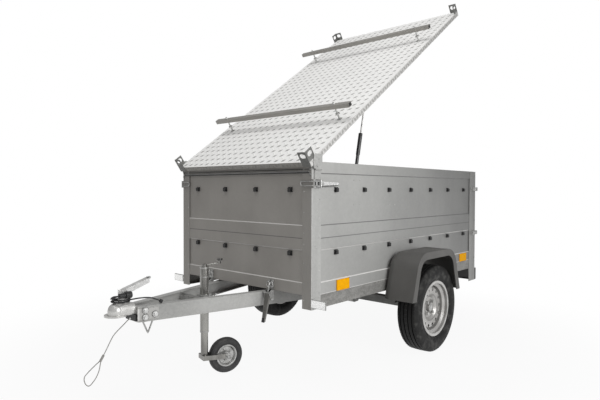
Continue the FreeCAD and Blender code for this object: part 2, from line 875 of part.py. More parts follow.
def beam_axis():
    """The left beam's front point on its middle line, its direction rearwards and its outer side."""
    front = Vec(front_x + beam_front_reach, beam_front_offset, beam_bottom_height)
    back = Vec(front_x - beam_rear_behind_front, beam_rear_offset, beam_bottom_height)
    along = (back - front).normalize()
    return front, along, Vec(along.y, -along.x, 0)


def beam_bar(outward, inward, low, high, ahead, behind):
    """A bar along the left beam's middle line, reaching to its two sides and past its two ends."""
    front, along, side = beam_axis()
    length = (beam_front_reach + beam_rear_behind_front) / abs(along.x)
    start, end = front - along * ahead, front + along * (length + behind)
    corners = [start + side * outward, start - side * inward, end - side * inward, end + side * outward]
    return prism([corner + Vec(0, 0, low) for corner in corners], Vec(0, 0, high - low))


def beam():
    """The left drawbar beam, a channel open inwards with the pivot's lug under its rear end."""
    half = beam_width / 2
    outer = beam_bar(half, half, 0, beam_height, overrun, 0)
    inner = beam_bar(half - beam_wall, half + overrun, beam_wall, beam_height - beam_wall,
                     2 * overrun, overrun)
    nose = front_x + beam_front_reach
    ahead = block(nose, nose + 4 * overrun, -half_width, half_width, 0, split_z)
    return joined([outer.cut([inner, ahead]), pivot_lug()])


def beam_centre_y(x):
    """Where the left beam's middle lies across the trailer at one place along it."""
    front, back = front_x + beam_front_reach, front_x - beam_rear_behind_front
    share = (front - x) / (front - back)
    return beam_front_offset + share * (beam_rear_offset - beam_front_offset)


pivot_y = beam_centre_y(pivot_x)


def pivot_lug():
    """The lug under the left beam's rear end, bored for the pivot pin."""
    half = pivot_plate_gap - moving_gap
    eye = rod(Vec(pivot_x, pivot_y - half, drawbar_pivot_height),
              Vec(pivot_x, pivot_y + half, drawbar_pivot_height), pivot_lug_radius)
    neck = block(pivot_x - pivot_lug_radius / 2, pivot_x + pivot_lug_radius, pivot_y - half,
                 pivot_y + half, drawbar_pivot_height, beam_bottom_height)
    hole = rod(Vec(pivot_x, pivot_y - half - overrun, drawbar_pivot_height),
               Vec(pivot_x, pivot_y + half + overrun, drawbar_pivot_height),
               pivot_pin_radius + running_clearance)
    return joined([eye, neck]).cut(hole)


def pivot_bracket():
    """The left pivot's two plates on the bed's cross member, with the pin between them."""
    low_z, high_z = drawbar_pivot_height, wall_bottom_z - cross_member_height
    back_x = hinge_member_x + cross_member_width / 2
    gap = pivot_plate_gap
    plates = []
    for inner in (pivot_y - gap - pivot_plate_thickness, pivot_y + gap):
        outline = [
            (back_x, high_z), (back_x - cross_member_width, high_z),
            (pivot_x - pivot_plate_radius / 2, low_z - pivot_plate_radius / 2),
            (pivot_x + pivot_plate_radius / 2, low_z - pivot_plate_radius / 2),
            (pivot_x + pivot_plate_radius / 2, low_z + pivot_plate_radius / 2),
        ]
        plates.append(side_prism(outline, inner, inner + pivot_plate_thickness))
    pin = rod(Vec(pivot_x, pivot_y - gap - pivot_plate_thickness, low_z),
              Vec(pivot_x, pivot_y + gap + pivot_plate_thickness, low_z), pivot_pin_radius)
    return joined([*plates, pin])


cross_bar_x = front_x + cross_bar_ahead
beam_middle_z = beam_bottom_height + beam_height / 2


def cross_bar():
    """The tube between the beams that carries the jockey wheel's clamp."""
    lean = (beam_rear_offset - beam_front_offset) / (beam_front_reach + beam_rear_behind_front)
    reach = beam_centre_y(cross_bar_x) + math.hypot(1, lean) * (beam_width / 2 - beam_wall)
    half = cross_bar_size / 2
    high = beam_middle_z + half
    rear, ahead = cross_bar_x - half, cross_bar_x + half
    wide, narrow = reach + half * lean, reach - half * lean
    points = [Vec(rear, wide, high), Vec(ahead, narrow, high),
              Vec(ahead, -narrow, high), Vec(rear, -wide, high)]
    return prism(points, Vec(0, 0, -cross_bar_size))


jockey_x = front_x + jockey_ahead


def jockey_clamp():
    """The ring round the jockey tube with its bolt and tee handle."""
    low, high = clamp_ring_bottom, clamp_ring_bottom + clamp_ring_height
    outer = jockey_outer_radius + clamp_ring_wall
    ring = rod(Vec(jockey_x, 0, low), Vec(jockey_x, 0, high), outer)
    saddle = block(jockey_x, cross_bar_x - cross_bar_size / 2, -outer, outer, low, high)
    ears = block(jockey_x - outer - clamp_ring_wall, jockey_x, -clamp_ear_half, clamp_ear_half, low, high)
    bore = rod(Vec(jockey_x, 0, low - overrun), Vec(jockey_x, 0, high + overrun),
               jockey_outer_radius + running_clearance)
    slit = block(jockey_x - 2 * outer, jockey_x, -sheet / 2, sheet / 2, low - overrun, high + overrun)
    body = joined([ring, saddle, ears]).cut([bore, slit])
    bolt_x = jockey_x - outer - clamp_ring_wall / 2 + sheet / 2
    bolt_z = (low + high) / 2
    bolt = rod(Vec(bolt_x, -clamp_ear_half - sheet, bolt_z), Vec(bolt_x, clamp_t_length / 2, bolt_z),
               clamp_t_radius)
    bolt_end = Vec(bolt_x, clamp_t_length / 2, bolt_z)
    half_tee = Vec(-1, 0, 1) * (clamp_t_length / 3)
    tee = rod(bolt_end - half_tee, bolt_end + half_tee, clamp_t_radius)
    return joined([cross_bar(), body, bolt, tee])


def jockey_tube():
    """The outer jockey tube with its crank and knob."""
    base = Vec(jockey_x, 0, jockey_outer_bottom_height)
    top = Vec(jockey_x, 0, jockey_top_height)
    shell = rod(base, top, jockey_outer_radius)
    room = rod(base - Vec(0, 0, overrun), top - Vec(0, 0, crank_hub_height),
               jockey_inner_radius + running_clearance)
    hub_top = top + Vec(0, 0, crank_hub_height)
    hub = rod(top, hub_top, crank_hub_radius)
    turn, rise = math.radians(crank_turn_angle), math.radians(crank_angle_up)
    aim = Vec(math.cos(turn) * math.cos(rise), math.sin(turn) * math.cos(rise), math.sin(rise))
    arm_start = top + Vec(0, 0, crank_hub_height / 2)
    arm_end = arm_start + aim * crank_reach
    arm = rod(arm_start, arm_end, crank_radius)
    stem_top = arm_end + Vec(0, 0, crank_stem_height)
    stem = rod(arm_end - Vec(0, 0, crank_radius), stem_top, crank_stem_radius)
    knob = rod(stem_top, stem_top + Vec(0, 0, crank_knob_height), crank_knob_radius)
    return joined([shell.cut(room), hub, arm, stem, knob])


swivel = FreeCAD.Rotation(Vec(0, 0, 1), -jockey_swivel_angle)
trail_run = swivel.multVec(Vec(-1, 0, 0))
jockey_side = swivel.multVec(Vec(0, 1, 0))
jockey_hub = Vec(jockey_x, 0, jockey_wheel_radius) + trail_run * jockey_trail


def jockey_leg():
    """The inner tube, the foot under it and the fork's two arms with the axle."""
    low = jockey_bottom_height
    stem = rod(Vec(jockey_x, 0, low), Vec(jockey_x, 0, jockey_leg_top_height), jockey_inner_radius)
    reach = jockey_wheel_width / 2 + jockey_arm_gap
    height = jockey_arm_height
    hub_low = jockey_hub - Vec(0, 0, height / 2)
    foot_low = Vec(jockey_x, 0, low)
    arms = []
    for side in (-1, 1):
        start = foot_low + jockey_side * (side * reach)
        end = Vec(hub_low.x, hub_low.y, hub_low.z) + jockey_side * (side * reach) + trail_run * (height / 2)
        thick = jockey_side * (side * jockey_arm_thickness)
        points = [start - trail_run * jockey_inner_radius, end, end + Vec(0, 0, height),
                  start - trail_run * jockey_inner_radius + Vec(0, 0, height)]
        arms.append(prism(points, thick))
    yoke_half = reach + jockey_arm_thickness
    corner = foot_low - trail_run * jockey_inner_radius
    yoke = prism([corner - jockey_side * yoke_half, corner + jockey_side * yoke_half,
                  foot_low + jockey_side * yoke_half, foot_low - jockey_side * yoke_half],
                 Vec(0, 0, height))
    axle = rod(jockey_hub - jockey_side * yoke_half, jockey_hub + jockey_side * yoke_half,
               jockey_axle_radius)
    return joined([stem, yoke, *arms, axle])


def jockey_spun(section):
    """A closed outline of offset and radius, turned about the jockey wheel's axis."""
    points = [jockey_hub + jockey_side * along + Vec(0, 0, radius) for along, radius in section]
    face = Part.Face(Part.makePolygon(points + [points[0]]))
    return face.revolve(jockey_hub, jockey_side, 360)


def jockey_tyre():
    """The jockey wheel's solid rubber tyre."""
    half, radius, seat = jockey_wheel_width / 2, jockey_wheel_radius, jockey_rim_radius + seat_gap
    tall = radius - seat
    right = [(half * across, seat + tall * up) for across, up in jockey_tyre_shares]
    return jockey_spun(right + [(-across, out) for across, out in reversed(right)])


def jockey_rim():
    """The jockey wheel's pressed steel centre, bored for its axle."""
    half, radius = jockey_wheel_width / 2, jockey_rim_radius
    bore = jockey_axle_radius + running_clearance
    right = [(half * across, radius * out) for across, out in jockey_rim_shares] + [(half, bore)]
    return jockey_spun(right + [(-across, out) for across, out in reversed(right)])


def coupling_head():
    """The pressed coupling: flanges on the beams, a tongue and the domed ball socket."""
    centre = Vec(front_x + socket_centre_reach, 0, socket_centre_height)
    lip_z = coupling_lip_height
    nose_x = front_x + coupling_reach
    lip_radius = nose_x - centre.x
    beam_front = front_x + beam_front_reach
    half = coupling_tongue_width / 2
    low, high = beam_middle_z - coupling_tongue_height / 2, beam_middle_z + coupling_tongue_height / 2
    tongue_top = centre.z + coupling_dome_radius * coupling_tongue_rise_share
    tongue = side_prism([(beam_front, low), (centre.x, lip_z), (centre.x, tongue_top),
                         (centre.x - coupling_dome_radius,
                          centre.z + coupling_dome_radius * coupling_shoulder_rise_share),
                         (beam_front, high)], -half, half)
    lip = rod(Vec(centre.x, 0, lip_z), Vec(centre.x, 0, lip_z + coupling_lip_thickness), lip_radius)
    skirt = rod(Vec(centre.x, 0, lip_z), centre, coupling_dome_radius)
    dome = Part.makeSphere(coupling_dome_radius, centre)
    plate_half = beam_front_offset + beam_width / 2
    plate = block(beam_front, beam_front + nose_plate_thickness, -plate_half, plate_half,
                  beam_middle_z - beam_height / 2, beam_middle_z + beam_height / 2)
    handle = lever_handle()
    room = Part.makeSphere(ball_radius + ball_clearance, centre)
    mouth = rod(Vec(centre.x, 0, lip_z - 2 * overrun), centre, ball_radius + ball_clearance)
    below = block(beam_front + nose_plate_thickness, nose_x + overrun, -half_width, half_width, 0, lip_z)
    return joined([tongue, lip, skirt, dome, plate, handle]).cut([room, mouth, below])


def lever_handle():
    """The coupling's raised grip, a bent bar in the middle plane."""
    foot = (front_x + handle_foot_reach, socket_centre_height + coupling_dome_radius / 2)
    root = (front_x + handle_root_reach, handle_root_height)
    tip = (front_x + handle_tip_reach, handle_tip_height)
    thick = handle_thickness
    outline = [
        foot, (foot[0] + 2 * thick, foot[1]),
        (root[0] + thick, root[1]), (root[0] - thick / 2, root[1] + thick),
        (tip[0], tip[1] + thick / 2), (tip[0], tip[1] - thick / 2),
        (root[0] - 2 * thick, root[1] - thick / 2),
    ]
    return side_prism(outline, -handle_width / 2, handle_width / 2)


def coupling_cheek():
    """The left cheek of the coupling, bolted to the beam's outer face."""
    front, along, side = beam_axis()
    low = beam_bottom_height + (beam_height - coupling_cheek_height) / 2
    face = front + side * (beam_width / 2)
    start = Vec(face.x, face.y, low) - along * nose_plate_thickness
    end = start + along * coupling_cheek_length
    thick = side * coupling_cheek_thickness
    return prism([start, end, end + thick, start + thick], Vec(0, 0, coupling_cheek_height))


def drawbar_clamp():
    """The left over-centre clamp on the front of the bed, its lever hanging down."""
    middle_y = beam_centre_y(front_x) + beam_width / 2 + clamp_side_offset + clamp_width / 2
    low, high = middle_y - clamp_width / 2, middle_y + clamp_width / 2
    band_face = wall_front_x
    strap = block(band_face, band_face + clamp_lever_thickness, low, high,
                  wall_bottom_z, wall_bottom_z + clamp_strap_height)
    body_top = wall_bottom_z + clamp_strap_height / 2
    body = block(band_face, band_face + clamp_body_depth, low, high, body_top - clamp_body_height, body_top)
    pin_z = body_top - clamp_body_height / 3
    pin = rod(Vec(band_face + clamp_body_depth, low - clamp_lever_thickness, pin_z),
              Vec(band_face + clamp_body_depth, high + clamp_lever_thickness, pin_z), clamp_lever_thickness)
    lever_top, lever_low = pin_z, pin_z - clamp_lever_length
    front = band_face + clamp_body_depth
    thick = clamp_lever_thickness
    wide, narrow = clamp_lever_width / 2, clamp_lever_tip / 2
    lever = end_prism([(middle_y - wide, lever_top), (middle_y + wide, lever_top),
                       (middle_y + narrow, lever_low), (middle_y - narrow, lever_low)],
                      front, front + thick)
    return joined([strap, body, pin, lever])


def wire_loop():
    """The bent wire under the beams' front, for hanging the lead."""
    top_z_wire = beam_bottom_height
    y = beam_centre_y(front_x + wire_loop_reach)
    points = [Vec(front_x + wire_loop_reach + wire_loop_half, y, top_z_wire),
              Vec(front_x + wire_loop_reach, y, top_z_wire - wire_loop_drop),
              Vec(front_x + wire_loop_reach - wire_loop_half, y, top_z_wire)]
    legs = [rod(points[0], points[1], wire_loop_radius), rod(points[1], points[2], wire_loop_radius)]
    beam_room = block(front_x, front_x + coupling_reach, 0, half_width, top_z_wire, split_z)
    return joined([*legs, Part.makeSphere(wire_loop_radius, points[1])]).cut(beam_room)


def front_latch():
    """The left latch at the front corner: strap on the front, body and lever on the side."""
    middle = latch_height
    thick = latch_strap_thickness
    strap = block(front_x, front_x + thick, half_width - latch_strap_length, half_width + latch_body_depth,
                  middle - latch_strap_height / 2, middle + latch_strap_height / 2)
    body = block(front_x + thick, front_x - latch_body_length, half_width, half_width + latch_body_depth,
                 middle - latch_body_height / 2, middle + latch_body_height / 2)
    lever_start = front_x - latch_body_length
    lever = block(lever_start, lever_start - latch_lever_length, half_width + sheet,
                  half_width + sheet + latch_lever_thickness, middle - latch_lever_height / 2,
                  middle + latch_lever_height / 2)
    return joined([strap, body, lever])


def rear_latch(middle):
    """A left latch on the rear post, beside one tier of the tailgate."""
    return block(rear_x - latch_body_depth, rear_x + rear_latch_length, half_width,
                 half_width + latch_body_depth, middle - rear_latch_height / 2,
                 middle + rear_latch_height / 2)


gate_pin_x = rear_x + wall_thickness / 2
gate_half_width = wall_outer_y - moving_gap
lower_gate_pin_z = wall_bottom_z + wall_thickness / 2
upper_gate_pin_z = split_z + moving_gap / 2 + wall_thickness / 2


def gate_pin(pin_z, radius):
    """The left pin of a tailgate's bottom edge, through the rear post."""
    start = Vec(gate_pin_x, gate_half_width - overrun, pin_z)
    return rod(start, Vec(gate_pin_x, half_width + sheet, pin_z), radius)


def gate(pin_z, top, bottom_band, top_band, latch_z, hook_z):
    """One tier of the tailgate, round along its bottom edge, with pins, keepers and hooks."""
    outer, inner = rear_x, gate_front_x
    field = outer + wall_bead_depth
    bottom = pin_z - wall_thickness / 2
    outline = [
        (outer, pin_z), (outer, bottom + bottom_band), (field, bottom + bottom_band + bead_slope),
        (field, top - top_band - bead_slope), (outer, top - top_band), (outer, top), (inner, top),
        (inner, pin_z),
    ]
    slab = side_prism(outline, -gate_half_width, gate_half_width)
    edge = rod(Vec(gate_pin_x, -gate_half_width, pin_z), Vec(gate_pin_x, gate_half_width, pin_z),
               wall_thickness / 2)
    pins = both_sides(gate_pin(pin_z, gate_pin_radius))
    keeper_y = gate_half_width - keeper_width
    keeper = block(outer - keeper_depth, field, keeper_y, gate_half_width,
                   latch_z - rear_latch_height / 2, latch_z + rear_latch_height / 2)
    hooks = [hook_at(Vec(field, y, hook_z), Vec(-1, 0, 0)) for y in across_hook_places()]
    return joined([slab, edge, *pins, keeper, mirrored(keeper), *hooks])


def cord_wire(points):
    """Straight runs joined by tangent arcs, each as large as its two runs allow."""
    edges, start, radii = [], points[0], []
    for before, corner, after in zip(points, points[1:], points[2:]):
        back, ahead = before - corner, after - corner
        turn = math.pi - back.getAngle(ahead)
        reach = cord_reach_share * min(back.Length, ahead.Length)
        radii.append(reach / math.tan(turn / 2))
        enter, leave = corner + back.normalize() * reach, corner + ahead.normalize() * reach
        bisector = (enter + leave) * 0.5 - corner
        to_centre = math.hypot(radii[-1], reach)
        middle = corner + bisector.normalize() * (to_centre - radii[-1])
        edges += [Part.LineSegment(start, enter).toShape(), Part.Arc(enter, middle, leave).toShape()]
        start = leave
    edges.append(Part.LineSegment(start, points[-1]).toShape())
    return Part.Wire(edges), radii


def cord_tube(name, points, radius):
    """A plain tube along a cord's route."""
    wire, radii = cord_wire(points)
    aim = points[1] - points[0]
    ring = Part.Wire(Part.Circle(points[0], aim, radius).toShape())
    tube = wire.makePipeShell([ring], True, False)
    print(name, "length", round(wire.Length), "least radius", round(min(radii)),
          "radii", [round(value) for value in radii],
          "volume share", round(tube.Volume / (wire.Length * math.pi * radius ** 2), 3))
    return tube


nose_face_x = front_x + beam_front_reach + nose_plate_thickness
cable_heading = Vec(cable_heading_shares[0], cable_heading_shares[1], 0).normalize()
cable_start = Vec(nose_face_x + cable_gland_radius, 0, beam_bottom_height + cable_exit_rise)


def cable_point(along, drop):
    """A point in the upright plane that the safety cable hangs in."""
    return cable_start + cable_heading * along - Vec(0, 0, drop)


def cable_route():
    """The safety cable from its gland to the ferrule."""
    return [cable_point(along, drop) for along, drop in cable_route_points]


def cable_gland():
    """The short steel gland that the safety cable leaves, on the nose plate."""
    points = cable_route()
    aim = (points[1] - points[0]).normalize()
    return rod(points[0] - aim * cable_gland_length, points[0], cable_gland_radius)


def ferrule_axis():
    """The ferrule's two ends."""
    points = cable_route()
    aim = (points[-1] - points[-2]).normalize()
    start = points[-1] - aim * ferrule_bite
    return start, start + aim * ferrule_length


def loop_route():
    """The cable's end loop, out of the ferrule and back into it."""
    end = ferrule_axis()[1]
    lean = math.radians(loop_lean_angle)
    along = cable_heading * math.cos(lean) - Vec(0, 0, math.sin(lean))
    across = cable_heading * math.sin(lean) + Vec(0, 0, math.cos(lean))
    return [end + along * out - along * ferrule_bite + across * side for out, side in loop_route_points]


lead_coil_centre = Vec(front_x + lead_coil_reach, 0,
                       socket_centre_height + coupling_dome_radius + seat_gap + lead_coil_section)


def lead_coil():
    """The wound lead's outer shape, a ring round the grip's foot."""
    return Part.makeTorus(lead_coil_radius, lead_coil_section, lead_coil_centre, Vec(0, 0, 1))


def lead_plug():
    """The lead's plug, a round body with a narrower nose, lying on the coil."""
    low = lead_coil_centre.z + lead_coil_section + plug_radius + seat_gap
    start = Vec(front_x + plug_reach, plug_offset, low)
    neck = start + Vec(plug_length / 2, 0, 0)
    return joined([rod(start, neck, plug_radius),
                   rod(neck, start + Vec(plug_length, 0, 0), plug_radius * plug_neck_share)])


def lead_grommet():
    """The rubber grommet on the left beam that the lead comes out of."""
    points = lead_route()
    aim = (points[1] - points[0]).normalize()
    spout = rod(points[0] - aim * grommet_length, points[0], grommet_radius)
    beam_room = block(front_x, front_x + coupling_reach, -half_width, half_width, 0,
                      beam_bottom_height + beam_height)
    return spout.cut(beam_room)


def lead_route():
    """The lead from its grommet to the wound coil."""
    foot = Vec(front_x + lead_exit_reach, beam_centre_y(front_x + lead_exit_reach),
               beam_bottom_height + beam_height)
    return [foot + Vec(*point) for point in lead_route_points]


def bed_nodes():
    """The nodes of the bed, which is the part's root."""
    save("bed_floor", [floor()])
    save("side_rails", both_sides(side_rail()))
    save("cross_members", [cross_member(x) for x in (hinge_member_x, middle_member_x, tail_member_x)])
    save("wall_left_lower", [side_wall(LOWER)])
    save("wall_right_lower", [mirrored(side_wall(LOWER))])
    save("wall_left_upper", [side_wall(UPPER)])
    save("wall_right_upper", [mirrored(side_wall(UPPER))])
    save("wall_front_lower", [front_wall(LOWER)])
    save("wall_front_upper", [front_wall(UPPER)])
    save("front_posts", both_sides(front_post()))
    holes = [gate_pin(pin_z, gate_pin_radius + running_clearance)
             for pin_z in (lower_gate_pin_z, upper_gate_pin_z)]
    save("rear_posts", both_sides(rear_post().cut(holes)))
    save("tarpaulin_hooks", bed_hooks())
    save("axle_beam", [axle_beam()])
    save("axle_arms", both_sides(axle_arm()))
    save("mudguard_left", [mudguard()])
    save("mudguard_right", [mirrored(mudguard())])
    save("light_carrier", [light_carrier()])
    save("tail_lamps", both_sides(tail_lamp()))
    save("amber_reflectors", amber_reflectors())
    save("reflector_brackets", both_sides(white_bracket()))
    save("white_reflectors", both_sides(white_reflector()))
    save("lid_hinge_plates", both_sides(hinge_plate()))
    save("strut_plates", both_sides(strut_plate()))
    save("drawbar_pivots", both_sides(pivot_bracket()))
    save("drawbar_clamps", both_sides(drawbar_clamp()))
    latches = [front_latch(), rear_latch(rear_upper_latch_height), rear_latch(rear_lower_latch_height)]
    save("bed_latches", [piece for latch in latches for piece in both_sides(latch)])


def bed_hooks():
    """The hooks on the side walls and the front."""
    hooks = []
    for height in (upper_hook_height, lower_hook_height):
        for behind in side_hook_places():
            hooks += both_sides(hook_at(Vec(front_x - behind, field_y, height), Vec(0, 1, 0)))
        for across in across_hook_places():
            hooks.append(hook_at(Vec(wall_front_x - wall_bead_depth, across, height), Vec(1, 0, 0)))
    return hooks


def moving_nodes():
    """The nodes of the gates, the lid, its struts and the wheels."""
    save("tailgate_lower", [gate(lower_gate_pin_z, split_z - moving_gap / 2, lower_wall_bottom_band,
                                 lower_wall_top_band, rear_lower_latch_height, lower_hook_height)])
    save("tailgate_upper", [gate(upper_gate_pin_z, top_z, upper_wall_bottom_band, upper_wall_top_band,
                                 rear_upper_latch_height, upper_hook_height)])
    save("lid_tray", [lid_tray()])
    brackets = []
    for edge, outward in ((-lid_front_reach, -1), (lid_rear_reach, 1)):
        brackets += both_sides(opened(corner_bracket(edge, outward)))
    save("lid_brackets", brackets + both_sides(lid_lug()))
    posts = [opened(bar_post(place)) for place in (front_bar_from_hinge, rear_bar_from_hinge)]
    save("bar_posts", [piece for post in posts for piece in both_sides(post)])
    save("roof_bars", [roof_bar(place) for place in (front_bar_from_hinge, rear_bar_from_hinge)])
    for side, turn in (("left", lambda shape: shape), ("right", mirrored)):
        save("strut_" + side + "_cylinder", [turn(strut_cylinder())])
        save("strut_" + side + "_rod", [turn(strut_rod())])
        save("wheel_" + side + "_rim", [turn(rim())])
        save("wheel_" + side + "_tyre", [turn(tyre())])


def drawbar_nodes():
    """The nodes of the drawbar, the jockey wheel and the cords."""
    save("beam_left", [joined([beam(), wire_loop()])])
    save("beam_right", [mirrored(beam())])
    save("coupling_head", [joined([coupling_head(), cable_gland(), *both_sides(coupling_cheek())])])
    save("jockey_clamp", [jockey_clamp()])
    save("jockey_tube", [jockey_tube()])
    save("jockey_leg", [jockey_leg()])
    save("jockey_rim", [jockey_rim()])
    save("jockey_tyre", [jockey_tyre()])
    save("safety_cable", [cord_tube("safety_cable", cable_route(), cable_radius)])
    save("safety_loop", [cord_tube("safety_loop", loop_route(), cable_radius)])
    save("cable_ferrule", [rod(*ferrule_axis(), ferrule_radius)])
    save("lead", [cord_tube("lead", lead_route(), lead_radius)])
    save("lead_grommet", [lead_grommet()])
    save("lead_coil", [lead_coil()])
    save("lead_plug", [lead_plug()])


os.makedirs("parts", exist_ok=True)
bed_nodes()
moving_nodes()
drawbar_nodes()
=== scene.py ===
"""A utility trailer with its lid open: finishes, fittings, tyres, cords and the view."""
import logging
import math
from dataclasses import dataclass
from enum import Enum
from typing import Any, Iterable, Optional, Sequence, Union

import bpy
from mathutils import Matrix, Vector


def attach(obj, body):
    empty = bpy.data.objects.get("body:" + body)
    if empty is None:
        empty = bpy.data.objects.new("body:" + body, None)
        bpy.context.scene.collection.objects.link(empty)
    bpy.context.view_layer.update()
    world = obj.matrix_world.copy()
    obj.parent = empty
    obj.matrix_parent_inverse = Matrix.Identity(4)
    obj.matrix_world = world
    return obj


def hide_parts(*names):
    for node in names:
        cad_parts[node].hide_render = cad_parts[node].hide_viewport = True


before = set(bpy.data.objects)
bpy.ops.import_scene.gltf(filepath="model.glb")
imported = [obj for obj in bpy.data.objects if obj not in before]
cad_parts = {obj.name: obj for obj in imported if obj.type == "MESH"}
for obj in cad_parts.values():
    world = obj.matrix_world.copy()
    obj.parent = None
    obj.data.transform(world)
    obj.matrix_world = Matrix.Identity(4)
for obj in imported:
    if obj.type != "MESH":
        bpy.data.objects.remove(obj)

logging.basicConfig(level=logging.INFO, format="%(name)s %(message)s")
LOG = logging.getLogger("trailer")

Point = Union[Vector, Sequence[float]]
Pair = tuple[float, float]
Triple = tuple[float, float, float]
Quad = tuple[float, float, float, float]
Box = tuple[Triple, Triple]

UPWARD = Vector((0, 0, 1))
FORWARD = Vector((1, 0, 0))
WHEEL_CENTRE: Triple = (-0.3985, 0.6935, 0.281)
LID_HINGE: Pair = (0.5845, 1.212)
LID_OPEN_ANGLE = 35.3


class Side(Enum):
    """The two sides of the trailer, as a factor on Y."""

    LEFT = 1
    RIGHT = -1

    @property
    def word(self) -> str:
        """The side's name in piece and node names."""
        return self.name.lower()

    @property
    def out(self) -> Vector:
        """The way out of the trailer on this side."""
        return Vector((0, self.value, 0))

    def at(self, x: float, y: float, z: float) -> Vector:
        """A place that is given for the left, on this side."""
        return Vector((x, self.value * y, z))


class Slot(Enum):
    """The record's material slots, named beside each piece's finish."""

    SHEET = "galvanised_sheet"
    STEEL = "galvanised_steel"
    ZINC = "zinc_plated"
    TREAD = "tread_plate"
    PLASTIC = "black_plastic"
    PAINT = "black_paint"
    TYRE = "tyre_rubber"
    COUPLING = "coupling_steel"
    CABLE = "cable_sheath"
    LEAD = "lead_rubber"
    LAMP = "lamp_red"


class Value:
    """A shader socket, or a number, with sums written as Python expressions."""

    def __init__(self, nodes: "Nodes", source: Any) -> None:
        """Wrap a socket or a number for one node tree."""
        self.nodes = nodes
        self.source = source

    def maths(self, operation: str, *others: Any, clamp: bool = False) -> "Value":
        """Add one Math node.

        Args:
            operation: The node's operation.
            others: The second and third values, sockets or numbers.
            clamp: Whether the result is kept from 0 to 1.

        Returns:
            The node's result.
        """
        settings = {"operation": operation, "use_clamp": clamp}
        values = dict(enumerate((self, *others)))
        return Value(self.nodes, self.nodes.node("ShaderNodeMath", settings, values).outputs[0])

    def __add__(self, other: Any) -> "Value":
        """Sum."""
        return self.maths("ADD", other)

    def __radd__(self, other: Any) -> "Value":
        """Sum with a number first."""
        return Value(self.nodes, other).maths("ADD", self)

    def __sub__(self, other: Any) -> "Value":
        """Difference."""
        return self.maths("SUBTRACT", other)

    def __rsub__(self, other: Any) -> "Value":
        """Difference from a number."""
        return Value(self.nodes, other).maths("SUBTRACT", self)

    def __mul__(self, other: Any) -> "Value":
        """Product."""
        return self.maths("MULTIPLY", other)

    def __rmul__(self, other: Any) -> "Value":
        """Product with a number first."""
        return Value(self.nodes, other).maths("MULTIPLY", self)

    def clamped(self) -> "Value":
        """The value kept from 0 to 1."""
        return self.maths("ADD", 0.0, clamp=True)

    def larger(self, other: Any) -> "Value":
        """The larger of two values."""
        return self.maths("MAXIMUM", other)

    def magnitude(self) -> "Value":
        """The value without its sign."""
        return self.maths("ABSOLUTE")

    def root(self) -> "Value":
        """The square root."""
        return self.maths("SQRT")

    def ramp(self, low: float, high: float) -> "Value":
        """A smooth step.

        Args:
            low: The value at which the step starts.
            high: The value at which it is whole.

        Returns:
            A value from 0 to 1.
        """
        node = self.nodes.node("ShaderNodeMapRange", {"interpolation_type": "SMOOTHSTEP"},
                               {"Value": self, "From Min": low, "From Max": high})
        return Value(self.nodes, node.outputs[0])

    def line_at(self, place: float, half: float) -> "Value":
        """One on a thin band round a place, and nothing away from it.

        Args:
            place: The band's middle.
            half: Half the band's width.

        Returns:
            The band's mask.
        """
        return 1.0 - (self - place).magnitude().ramp(half * 0.5, half)


class Nodes:
    """A node tree with short ways to add and join nodes."""

    def __init__(self, tree: bpy.types.NodeTree) -> None:
        """Wrap the node tree of a material or a world."""
        self.tree = tree

    def node(self, kind: str, settings: Optional[dict[str, Any]] = None,
             inputs: Optional[dict[Any, Any]] = None) -> bpy.types.Node:
        """Add a node.

        Args:
            kind: The node's type.
            settings: Its properties, set before its sockets.
            inputs: Values or links by socket name or index.

        Returns:
            The node.
        """
        node = self.tree.nodes.new(kind)
        for key, value in (settings or {}).items():
            setattr(node, key, value)
        for key, value in (inputs or {}).items():
            self.feed(node.inputs[key], value)
        return node

    def feed(self, socket: bpy.types.NodeSocket, value: Any) -> None:
        """Set a socket, or link it.

        Args:
            socket: The input that is fed.
            value: A number, a colour, another node's output or a Value.
        """
        source = value.source if isinstance(value, Value) else value
        if isinstance(source, bpy.types.NodeSocket):
            self.tree.links.new(source, socket)
        else:
            socket.default_value = source


